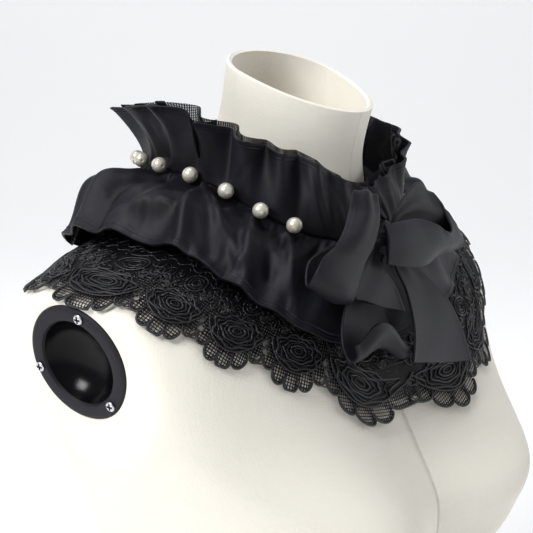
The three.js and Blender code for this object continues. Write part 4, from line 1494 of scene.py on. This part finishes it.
class COLLAR_OT_ruffles(bpy.types.Operator):
    """Builds the two ruffles that stand round the neck"""

    bl_idname = "collar.ruffles"
    bl_label = "Neck ruffles"

    def execute(self, context):
        sizes = collar_sizes()
        across = np.linspace(0, 1, 841)
        down = spread((0, 0.88, 1), (20, 12))
        whole = ruffle_surface(0, 0)

        def outer(u, v):
            slit = RUFFLE_SLIT_DEPTH * bell(round_neck(u) - RUFFLE_SLIT, RUFFLE_SLIT_HALF)
            return whole(u, v * (1 - slit))

        hem = hem_bulge(from_last_row(outer, across, down), RUFFLE_HEM, 0.8)
        satin = satin_finish("ruffle_satin")
        piece, top = cloth_piece("ruffle", outer, across, down, sizes.satin / MM * 0.5 + hem, satin)
        take_place(piece, "ruffle_outer", slot="satin")
        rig.sheet(piece, **cut_of(top), held="gathered", rests_on=["satin_capelet", "band"])
        inner_out = band_out() - (sizes.band + sizes.tulle) / 2 / MM - 2 * SEAM_GAP
        inner = ruffle_surface(inner_out, TULLE_TALLER)
        down = np.linspace(0, 1, 20)
        thickness = sizes.tulle / MM * 0.5
        piece, top = cloth_piece("ruffle_tulle", inner, across, down, thickness, tulle_finish())
        take_place(piece, "ruffle_inner", slot="tulle")
        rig.sheet(piece, **cut_of(top), held="gathered", rests_on=["ruffle", "band"])
        return {"FINISHED"}


# One repeat of the lace, in millimetres: across it, and up from its edge
LACE_REPEAT = 60
LOBE_RADIUS = 6.4
LOBE_INSET = 1.5
ARCH = {"across": 30, "up": 33, "half_across": 31, "half_up": 26}
ROSE = {"across": 30, "up": 20, "half_across": 22, "half_up": 10.5}
ROSE_RINGS = [1.0, 0.84, 0.66, 0.5, 0.34, 0.18]
ROSE_PETALS = 7
ROSE_PETAL_DEPTH = 0.1
ROSE_TICKS = 18
SMALL_ROSE = {"across": 27, "up": 43, "half_across": 10, "half_up": 7.5}
SMALL_ROSE_RINGS = [(1.0, 0.6), (0.68, 0.45), (0.38, 0.5)]
LEAF_SPRAY = {"across": 0, "up": 37, "reach": 13}
LEAF_ANGLES = [0.5, 1.35, 2.2, 3.3, 5.9, 4.75]
SIDE_LEAVES = [{"across": 13, "lean": 90}, {"across": 47, "lean": 70}]
LACE_HOLES = [
    {"across": 1.5, "up": 5.5, "half_across": 3.4, "half_up": 2.6},
    {"across": -1.0, "up": 11.5, "half_across": 2.8, "half_up": 2.4},
    {"across": 2.0, "up": 17.0, "half_across": 2.4, "half_up": 2.6},
    {"across": 49.0, "up": 31.0, "half_across": 2.6, "half_up": 2.0},
    {"across": 12.0, "up": 34.0, "half_across": 2.4, "half_up": 2.0},
]
CURLS = 20
CURL_SEED = 3
WAVY_LINES = [(54, 0.0), (61, math.pi / 2)]
LACE_HEIGHTS = (-14, 130)
LACE_HEIGHT_STEP = 0.5
LACE_NOTCH = -6.5

# The lace's net: points across a repeat, rows above the motifs and through them, the row that
# its UV map measures across, the height where the motifs begin, and half its thickness
NET_COLUMNS = 48
PLAIN_ROWS = 8
NET_ROWS = 46
NET_UV_ROW = -12
NET_TOP = 96.0
NET_HALF = 0.25


def ellipse(shape, ring=1.0, start=0.0, end=TAU, count=26, tilt=0.0):
    """Points on an arc of an ellipse, given by its middle and half sizes."""
    a = np.linspace(start, end, count)
    x, y = shape["half_across"] * ring * np.cos(a), shape["half_up"] * ring * np.sin(a)
    c, s = math.cos(tilt), math.sin(tilt)
    return np.stack([shape["across"] + x * c - y * s, shape["up"] + x * s + y * c], -1)


def oval(across, up, half_across, half_up):
    """The middle and half sizes of an ellipse."""
    return {"across": across, "up": up, "half_across": half_across, "half_up": half_up}


def leaf(across, up, reach, angle, width=0.36, count=9):
    """The outline and the middle vein of a pointed leaf."""
    t = np.linspace(0, 1, count)
    vein = np.linspace(0.05, 0.82, 6)
    edge = reach * width * np.sin(np.pi * t) ** 0.8
    c, s = math.cos(angle), math.sin(angle)
    runs = [(reach * t, edge), (reach * t, -edge), (reach * vein, 0 * vein)]
    return [np.stack([across + x * c - y * s, up + x * s + y * c], -1) for x, y in runs]


def lobe_places():
    """The middle and the reach of each lobe of a repeat."""
    wide = collar_sizes().repeat / MM / len(LACE_LOBES)
    return [((k + 0.5) * wide, reach * LACE_LOBE) for k, reach in enumerate(LACE_LOBES)]


def edge_lines():
    """The double cord round each lobe, and the arch over the rose."""
    lines = []
    for middle, reach in lobe_places():
        up = LOBE_RADIUS - reach - 0.4
        inside = LOBE_RADIUS - LOBE_INSET
        outer, inner = oval(middle, up, LOBE_RADIUS, LOBE_RADIUS), oval(middle, up, inside, inside)
        lines.append((ellipse(outer, 1, math.pi * 0.98, math.pi * 2.02, 15), 0.75))
        lines.append((ellipse(inner, 1, math.pi, math.pi * 2, 12), 0.35))
    lines.append((ellipse(ARCH, 1, math.pi * 1.12, math.pi * 1.88, 26), 0.6))
    return lines


def rose_lines():
    """The large rose's wavy rings and the ticks round it, and the small rose."""
    lines = []
    for number, ring in enumerate(ROSE_RINGS):
        line = ellipse(oval(0, 0, ROSE["half_across"], ROSE["half_up"]), ring, 0, TAU, 36, 0.06)
        around = np.linspace(0, TAU, 36) * ROSE_PETALS + number * 1.4
        line = line * (1 + ROSE_PETAL_DEPTH * ring * np.sin(around))[:, None]
        line = line + (ROSE["across"], ROSE["up"] + 1.5 * (1 - ring))
        lines.append((line, 0.75 if number % 2 == 0 else 0.42))
    for number in range(ROSE_TICKS):
        angle = TAU * number / ROSE_TICKS
        t = np.linspace(0.86, 0.99, 3)
        x = ROSE["across"] + ROSE["half_across"] * t * math.cos(angle)
        y = ROSE["up"] + ROSE["half_up"] * t * math.sin(angle)
        lines.append((np.stack([x, y], -1), 0.4))
    for ring, radius in SMALL_ROSE_RINGS:
        lines.append((ellipse(SMALL_ROSE, ring, 0, TAU, 20, -0.2), radius))
    return lines


def leaf_lines():
    """The spray of leaves between two roses, the holes' rims, and a leaf on each side of a rose."""
    lines = []
    for angle in LEAF_ANGLES:
        reach = LEAF_SPRAY["reach"] * (0.8 if angle > 3 else 1)
        drawn = leaf(LEAF_SPRAY["across"], LEAF_SPRAY["up"], reach, angle)
        lines.extend((line, 0.48) for line in drawn)
    for hole in LACE_HOLES:
        edge = oval(hole["across"], hole["up"], hole["half_across"] + 0.5, hole["half_up"] + 0.5)
        lines.append((ellipse(edge, 1, 0, TAU, 12), 0.5))
    for side in SIDE_LEAVES:
        drawn = leaf(side["across"], 31, 9, math.radians(side["lean"]))
        lines.extend((line, 0.42) for line in drawn)
    return lines


def ground_lines():
    """The curls of the ground, and the two wavy lines near its top."""
    chance = np.random.default_rng(CURL_SEED)
    lines = []
    for _ in range(CURLS):
        start = chance.uniform(0, TAU)
        size = chance.uniform(1.8, 3.4)
        curl = oval(chance.uniform(1, 59), chance.uniform(27, 60), size, size * 0.7)
        lines.append((ellipse(curl, 1, start, start + 4.6, 9, start), 0.55))
    x = np.linspace(0, LACE_REPEAT, 40)
    for up, shift in WAVY_LINES:
        lines.append((np.stack([x, up + 2 * np.sin(np.linspace(0, TAU * 3, 40) + shift)], -1), 0.5))
    return lines


def lace_lines():
    """The lines of one repeat, each with the radius of its cord in millimetres."""
    return edge_lines() + rose_lines() + leaf_lines() + ground_lines()


class LaceGround:
    """Turns places in the lace's repeats into points above the form."""

    def __init__(self, side):
        self.side = side
        self.surface = lace_surface(side)
        self.across = np.linspace(0, 1, 25 * REPEATS_A_SIDE + 1)
        self.down = np.linspace(0.25, 1.08, 70)
        u, v = np.meshgrid(self.across, self.down)
        points = self.surface(u, v)
        total = lengths_along(points, 0)
        heights = np.arange(LACE_HEIGHTS[0], LACE_HEIGHTS[1], LACE_HEIGHT_STEP)
        self.v_of_height = np.array([
            np.interp(-heights, run - np.interp(1.0, self.down, run), self.down) for run in total.T
        ])

    def v_at(self, u, up):
        """The surface's own measure down, at heights in millimetres up from the edge."""
        table = self.v_of_height
        i_place = np.clip(u, 0, 1) * (table.shape[0] - 1)
        j_place = np.clip((up - LACE_HEIGHTS[0]) / LACE_HEIGHT_STEP, 0, table.shape[1] - 1)
        i = np.clip(np.floor(i_place).astype(int), 0, table.shape[0] - 2)
        j = np.clip(np.floor(j_place).astype(int), 0, table.shape[1] - 2)
        near = mix(table[i, j], table[i, j + 1], j_place - j)
        far = mix(table[i + 1, j], table[i + 1, j + 1], j_place - j)
        return mix(near, far, i_place - i)

    def points(self, u, up, height):
        """Points above the lace at heights in millimetres."""
        return lifted(self.surface, np.asarray(u, float), self.v_at(u, up), height)


def lobed_edge(across):
    """How far the lace's edge reaches below its line, at places across a repeat."""
    reach = np.full(np.shape(across), LACE_NOTCH)
    for middle, drop in lobe_places():
        gone = np.abs(across - middle) / LOBE_RADIUS
        lobe = drop + 0.4 - LOBE_RADIUS + LOBE_RADIUS * np.sqrt(1 - np.minimum(gone, 1) ** 2)
        reach = np.maximum(reach, np.where(gone <= 1, lobe, LACE_NOTCH))
    return reach


def from_oval(across, up, shape, shift=0):
    """Distance from an ellipse's middle, 1 on the ellipse."""
    x = (across - shape["across"] - shift) / shape["half_across"]
    return np.hypot(x, (up - shape["up"]) / shape["half_up"])


def net_openness(across, up):
    """How open the lace's net is, from 0 where it is closed to above 1 in its holes."""
    inside_lobe = 0.0
    for middle, drop in lobe_places():
        gone = np.hypot(across - middle, up - (LOBE_RADIUS - drop))
        inside_lobe = np.maximum(inside_lobe, 1 - smooth((gone - 4.4) / 1.2))
    rose = from_oval(across, up, ROSE)
    ground = 0.66 * smooth((rose - 1.0) / 0.15) + 0.42 * (1 - smooth((rose - 0.9) / 0.1))
    ground = ground * (1 - 0.4 * smooth((up - 34) / 20))
    opened = np.maximum(ground, 0.88 * inside_lobe * (up < 9))
    for hole in LACE_HOLES:
        for shift in (-LACE_REPEAT, 0, LACE_REPEAT):
            gone = from_oval(across, up, hole, shift)
            opened = np.maximum(opened, 1.3 * (1 - smooth((gone - 0.85) / 0.2)))
    return opened


CORD_SIDES = 5
CORD_FOOT = 0.2
CORD_RISE = 0.45
CORD_FLAT = 0.8
CORD_TAPER = 0.45


def cord_runs(lines):
    """The lines of every repeat, as places across the whole half, heights and cord radii."""
    wide = collar_sizes().repeat / MM
    runs = []
    for repeat in range(REPEATS_A_SIDE):
        for line, radius in lines:
            u = (repeat + line[:, 0] / wide) / REPEATS_A_SIDE
            inside = (u >= 0) & (u <= 1)
            if inside.sum() >= 3:
                runs.append((u[inside], line[inside, 1], radius))
    return runs


def cords(name, ground, lines, material):
    """Rounded cords along lines on the lace, in every repeat."""
    corners = np.arange(CORD_SIDES) * TAU / CORD_SIDES
    beside_share = np.cos(corners)[None, :, None]
    rise_share = CORD_FLAT * np.sin(corners)[None, :, None]
    runs = cord_runs(lines)
    u, up = (np.concatenate([run[k] for run in runs]) for k in (0, 1))
    feet = ground.points(u, up, CORD_FOOT * ground.side)
    heads = ground.points(u, up, (1 + CORD_FOOT) * ground.side)
    points, faces, uv = [], [], []
    start = 0
    for place, _, radius in runs:
        count = len(place)
        foot, head = feet[start : start + count], heads[start : start + count]
        rise = unit(head - foot)
        beside = np.cross(rise, unit(np.gradient(foot, axis=0)))
        thinner = 1 - CORD_TAPER * (np.abs(np.linspace(-1, 1, count)) > 0.999)
        ring = beside[:, None] * beside_share + rise[:, None] * rise_share
        points.append((foot + rise * CORD_RISE)[:, None] + ring * radius * thinner[:, None, None])
        faces.append(grid_faces(count, CORD_SIDES, start * CORD_SIDES, closed=True))
        run = np.cumsum(np.linalg.norm(np.diff(foot, axis=0, prepend=foot[:1]), axis=-1))
        along = np.stack(np.broadcast_arrays(run[:, None], corners[None] * radius), -1)
        uv.append(along.reshape(-1, 2) * MM)
        start += count
    points = np.concatenate([p.reshape(-1, 3) for p in points])
    piece = new_piece(name, in_frame(points), np.concatenate(faces), material, np.concatenate(uv))
    close_ends(piece)
    return piece


class COLLAR_OT_lace(bpy.types.Operator):
    """Builds the lace capelet: a net ground with cords and lobes along its edge"""

    bl_idname = "collar.lace"
    bl_label = "Lace capelet"

    def execute(self, context):
        net = lace_finish("lace_net", open_net=True)
        thread = lace_finish("lace_cord")
        lines = lace_lines()
        for name, side in (("right", 1), ("left", -1)):
            ground = LaceGround(side)
            piece, top = self.net(name, ground, net)
            take_place(piece, f"lace_{name}", slot="lace")
            cord = cords(f"lace_cords_{name}", ground, lines, thread)
            take_place(cord, slot="lace")
            cut = cut_of(top)
            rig.sheet(piece, **cut, held="gathered", rests_on=["form_cover"], with_pieces=[cord])
        return {"FINISHED"}

    def net(self, name, ground, material):
        """The net ground as a thin wall, plain from the band down to where the motifs begin."""
        across = np.linspace(0, 1, NET_COLUMNS * REPEATS_A_SIDE + 1)
        places = np.mod(across * REPEATS_A_SIDE, 1) * collar_sizes().repeat / MM
        begin = ground.v_at(across, np.full(across.shape, NET_TOP))
        plain = np.linspace(0, 1, PLAIN_ROWS + 1)[:-1, None] * begin[None, :]
        share = np.linspace(0, 1, NET_ROWS)[:, None] ** 0.8
        up = mix(np.full((1, len(across)), NET_TOP), -lobed_edge(places)[None, :], share)
        v = np.concatenate([plain, ground.v_at(np.broadcast_to(across, up.shape), up)])
        u = np.broadcast_to(across, v.shape)
        opened = np.concatenate([0 * plain, net_openness(np.broadcast_to(places, up.shape), up)])
        top = lifted(ground.surface, u, v, NET_HALF)
        under = lifted(ground.surface, u, v, -NET_HALF)
        across_row = lengths_along(top, 1)[NET_UV_ROW]
        return wall(f"lace_net_{name}", top, under, across_row, material, {"open": opened}), top


class COLLAR_OT_pearls(bpy.types.Operator):
    """Sews the pearls along the gathered seam"""

    bl_idname = "collar.pearls"
    bl_label = "Pearls"

    def execute(self, context):
        material = pearl_finish()
        radius = collar_sizes().pearl_radius
        for name in ("right", "left"):
            for number in range(1, len(PEARLS_AWAY) + 1):
                node = f"pearl_{name}_{number}"
                low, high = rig.box(node)
                bpy.ops.object.select_all(action="DESELECT")
                bpy.ops.mesh.primitive_uv_sphere_add(segments=32, ring_count=20, radius=radius)
                piece = bpy.context.active_object
                piece.name = f"sewn_{node}"
                piece.data.materials.append(material)
                self.drill(piece, radius)
                bpy.ops.object.shade_smooth()
                spot = (low + high) / 2
                round_turn = math.atan2(spot.y, spot.x)
                turn = Matrix.Rotation(round_turn, 4, "Z") @ Matrix.Rotation(math.radians(90), 4, "X")
                settle(piece, Matrix.Translation(spot) @ turn)
                take_place(piece, node, slot="pearl")
        return {"FINISHED"}

    def drill(self, piece, radius):
        """Presses a small drilled hole into each pole."""
        for vertex in piece.data.vertices:
            flat = math.hypot(vertex.co.x, vertex.co.y)
            if flat < radius * 0.2:
                vertex.co.z *= 0.8 if flat < radius * 0.1 else 0.985


class COLLAR_OT_bow(bpy.types.Operator):
    """Ties the soft bow at the front"""

    bl_idname = "collar.bow"
    bl_label = "Bow"

    def execute(self, context):
        sizes = collar_sizes()
        material = satin_finish("bow_satin")
        for name, table in RIBBONS.items():
            surface = ribbon_surface(table, RIBBON_PLEATS)
            across = np.linspace(0, 1, 12 * len(table) + 1)
            down = spread((0, 0.12, 0.88, 1), (6, 17, 6))
            u, v = np.meshgrid(across, down)
            places = u * (len(table) - 1)
            to_edge = stack(*[column(table, key, places) for key in ("hx", "hy", "hz")])
            half = np.linalg.norm(to_edge, axis=-1)
            hem = hem_bulge(2 * half * np.minimum(v, 1 - v), sizes.ribbon_hem / MM * 0.7, 0.45)
            puff = RIBBON_PUFF * smooth(half / 16) * (1 - (2 * v - 1) ** 2)
            thickness = sizes.satin / MM * 0.55 + hem + puff
            piece, top = cloth_piece(f"satin_{name}", surface, across, down, thickness, material)
            take_place(piece, name, slot="satin")
            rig.sheet(piece, **cut_of(top), held="folded", rests_on=["satin_bow_knot"])
        self.knot(material)
        return {"FINISHED"}

    def knot(self, material):
        """The knot: a rounded wrap with creases drawn round it."""
        low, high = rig.box("bow_knot")
        middle, half = (low + high) / 2, (high - low) / 2
        bpy.ops.object.select_all(action="DESELECT")
        bpy.ops.mesh.primitive_uv_sphere_add(segments=72, ring_count=48, radius=1)
        piece = bpy.context.active_object
        piece.name = "satin_bow_knot"
        layer = piece.data.uv_layers.active
        layer.name = "Cloth"
        for corner in layer.data:
            corner.uv = (corner.uv[0] * 0.06, corner.uv[1] * 0.03)
        for vertex in piece.data.vertices:
            x, y, z = vertex.co
            crease = 0.05 * math.sin(9 * z + 2.2 * math.sin(2 * x)) + 0.03 * math.sin(17 * z - 3 * x)
            grow = 1 + crease * math.sqrt(max(0.0, 1 - z * z))
            vertex.co = Vector((x * grow * half.x, y * grow * half.y, z * half.z))
        piece.data.materials.append(material)
        bpy.ops.object.shade_smooth()
        settle(piece, Matrix.Translation(middle))
        take_place(piece, "bow_knot", slot="satin")


# The camera of the photograph, in degrees and millimetres
CAMERA_AZIMUTH = -52.32
CAMERA_ELEVATION = 13.9
CAMERA_ROLL = 2.5
CAMERA_DISTANCE = 765.91
CAMERA_ASIDE = -7.92
CAMERA_HEIGHT = 377.76
FOCAL_PIXELS = 1123.78
PHOTO_PIXELS = 533
SENSOR = 36

# The floor and its backdrop, in metres
FLOOR_REACH = 15
FLOOR_DROP = 0.0005
BACKDROP_AWAY = 1.6
BACKDROP_HEIGHT = 5
BEND_STEPS = 12

# The lights: where each stands in metres, its size in metres and its power in watts
LIGHTS = {
    "key": ((-1.5, 0.2, 1.5), 0.7, 27),
    "top": ((-0.1, 0.3, 2.2), 1.2, 13),
    "fill": ((1.5, -1.2, 0.6), 1.2, 5.5),
}
AIM_HEIGHT = 0.36
ROOM_COLOUR = (0.97, 0.98, 1, 1)
ROOM_STRENGTH = 0.38


class COLLAR_OT_stage(bpy.types.Operator):
    """Sets the floor, the soft light and the camera"""

    bl_idname = "collar.stage"
    bl_label = "Stage"

    def execute(self, context):
        self.floor()
        self.lights(context.scene)
        self.camera(context.scene)
        return {"FINISHED"}

    def floor(self):
        """A pale floor that curves up into a backdrop behind the form."""
        turns = [math.pi / 2 * k / BEND_STEPS for k in range(BEND_STEPS + 1)]
        bend = [(BACKDROP_AWAY + math.sin(turn), 1 - math.cos(turn)) for turn in turns]
        section = [(-FLOOR_REACH, 0), *bend, (BACKDROP_AWAY + 1, BACKDROP_HEIGHT)]
        corners = [(-FLOOR_REACH, along, z - FLOOR_DROP) for along, z in section]
        mesh = bpy.data.meshes.new("backdrop")
        mesh.from_pydata(corners, [(i, i + 1) for i in range(len(section) - 1)], [])
        floor = bpy.data.objects.new("backdrop", mesh)
        bpy.context.scene.collection.objects.link(floor)
        select_only(floor)
        bpy.ops.object.mode_set(mode="EDIT")
        bpy.ops.mesh.select_all(action="SELECT")
        bpy.ops.mesh.extrude_region_move(TRANSFORM_OT_translate={"value": (2 * FLOOR_REACH, 0, 0)})
        bpy.ops.mesh.select_all(action="SELECT")
        bpy.ops.mesh.normals_make_consistent(inside=False)
        bpy.ops.object.mode_set(mode="OBJECT")
        mesh.transform(Matrix.Rotation(math.radians(CAMERA_AZIMUTH), 4, "Z"))
        mesh.materials.append(paper_finish())
        bpy.ops.object.shade_smooth()
        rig.stage(floor)

    def lights(self, scene):
        """A bright even room with one large soft key from the upper left."""
        world = bpy.data.worlds.new("studio")
        world.use_nodes = True
        room = world.node_tree.nodes["Background"]
        room.inputs["Color"].default_value = ROOM_COLOUR
        room.inputs["Strength"].default_value = ROOM_STRENGTH
        scene.world = world
        for name, (place, size, power) in LIGHTS.items():
            light = bpy.data.lights.new(name, "AREA")
            light.size = size
            light.energy = power
            made = bpy.data.objects.new(name, light)
            made.location = place
            aim = Vector((0, 0, AIM_HEIGHT)) - Vector(place)
            made.rotation_euler = aim.to_track_quat("-Z", "Y").to_euler()
            scene.collection.objects.link(made)
        scene.view_settings.view_transform = "Standard"
        scene.view_settings.look = "Medium High Contrast"
        scene.view_settings.exposure = -0.2

    def camera(self, scene):
        """The camera, at the photograph's angle."""
        a, e, r = (math.radians(x) for x in (CAMERA_AZIMUTH, CAMERA_ELEVATION, CAMERA_ROLL))
        back = Vector((math.sin(a) * math.cos(e), -math.cos(a) * math.cos(e), math.sin(e)))
        level = Vector((math.cos(a), math.sin(a), 0))
        upright = back.cross(level)
        right = math.cos(r) * level + math.sin(r) * upright
        up = -math.sin(r) * level + math.cos(r) * upright
        target = level * CAMERA_ASIDE + Vector((0, 0, CAMERA_HEIGHT))
        camera = bpy.data.cameras.new("camera")
        camera.sensor_width = SENSOR
        camera.lens = SENSOR * FOCAL_PIXELS / PHOTO_PIXELS
        camera.clip_start = 0.05
        camera.clip_end = 50
        made = bpy.data.objects.new("camera", camera)
        matrix = Matrix((right, up, back)).transposed().to_4x4()
        matrix.translation = (target + back * CAMERA_DISTANCE) * MM
        made.matrix_world = matrix
        scene.collection.objects.link(made)
        scene.camera = made


class COLLAR_PT_panel(bpy.types.Panel):
    """Lists the steps that build the collar"""

    bl_idname = "COLLAR_PT_panel"
    bl_label = "Collar"
    bl_space_type = "VIEW_3D"
    bl_region_type = "UI"
    bl_category = "Collar"

    def draw(self, context):
        for step in STEPS:
            self.layout.operator(step.bl_idname)
        for sizes in (context.scene.form_sizes, context.scene.collar_sizes, context.scene.finishes):
            for key in sizes.bl_rna.properties.keys():
                if key not in ("rna_type", "name"):
                    self.layout.prop(sizes, key)


STEPS = (
    COLLAR_OT_stage,
    COLLAR_OT_form,
    COLLAR_OT_plates,
    COLLAR_OT_band,
    COLLAR_OT_capelet,
    COLLAR_OT_ruffles,
    COLLAR_OT_lace,
    COLLAR_OT_pearls,
    COLLAR_OT_bow,
)
GROUPS = (("form_sizes", FormSizes), ("collar_sizes", CollarSizes), ("finishes", Finishes))


def register():
    """Makes the sizes, steps and panel known."""
    for name, group in GROUPS:
        bpy.utils.register_class(group)
        setattr(bpy.types.Scene, name, bpy.props.PointerProperty(type=group))
    for step in (*STEPS, COLLAR_PT_panel):
        bpy.utils.register_class(step)


def unregister():
    """Takes them away again."""
    for step in reversed((*STEPS, COLLAR_PT_panel)):
        bpy.utils.unregister_class(step)
    for name, group in reversed(GROUPS):
        delattr(bpy.types.Scene, name)
        bpy.utils.unregister_class(group)


def main():
    """Builds everything in order and writes the two boxes."""
    register()
    for step in STEPS:
        group, name = step.bl_idname.split(".")
        getattr(getattr(bpy.ops, group), name)()
    visual = [list(corner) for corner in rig.bounds()]
    with open(SIZE_FILE, "w") as out:
        json.dump({"cad": CAD_BOX, "visual": visual}, out)


if __name__ == "__main__":
    main()
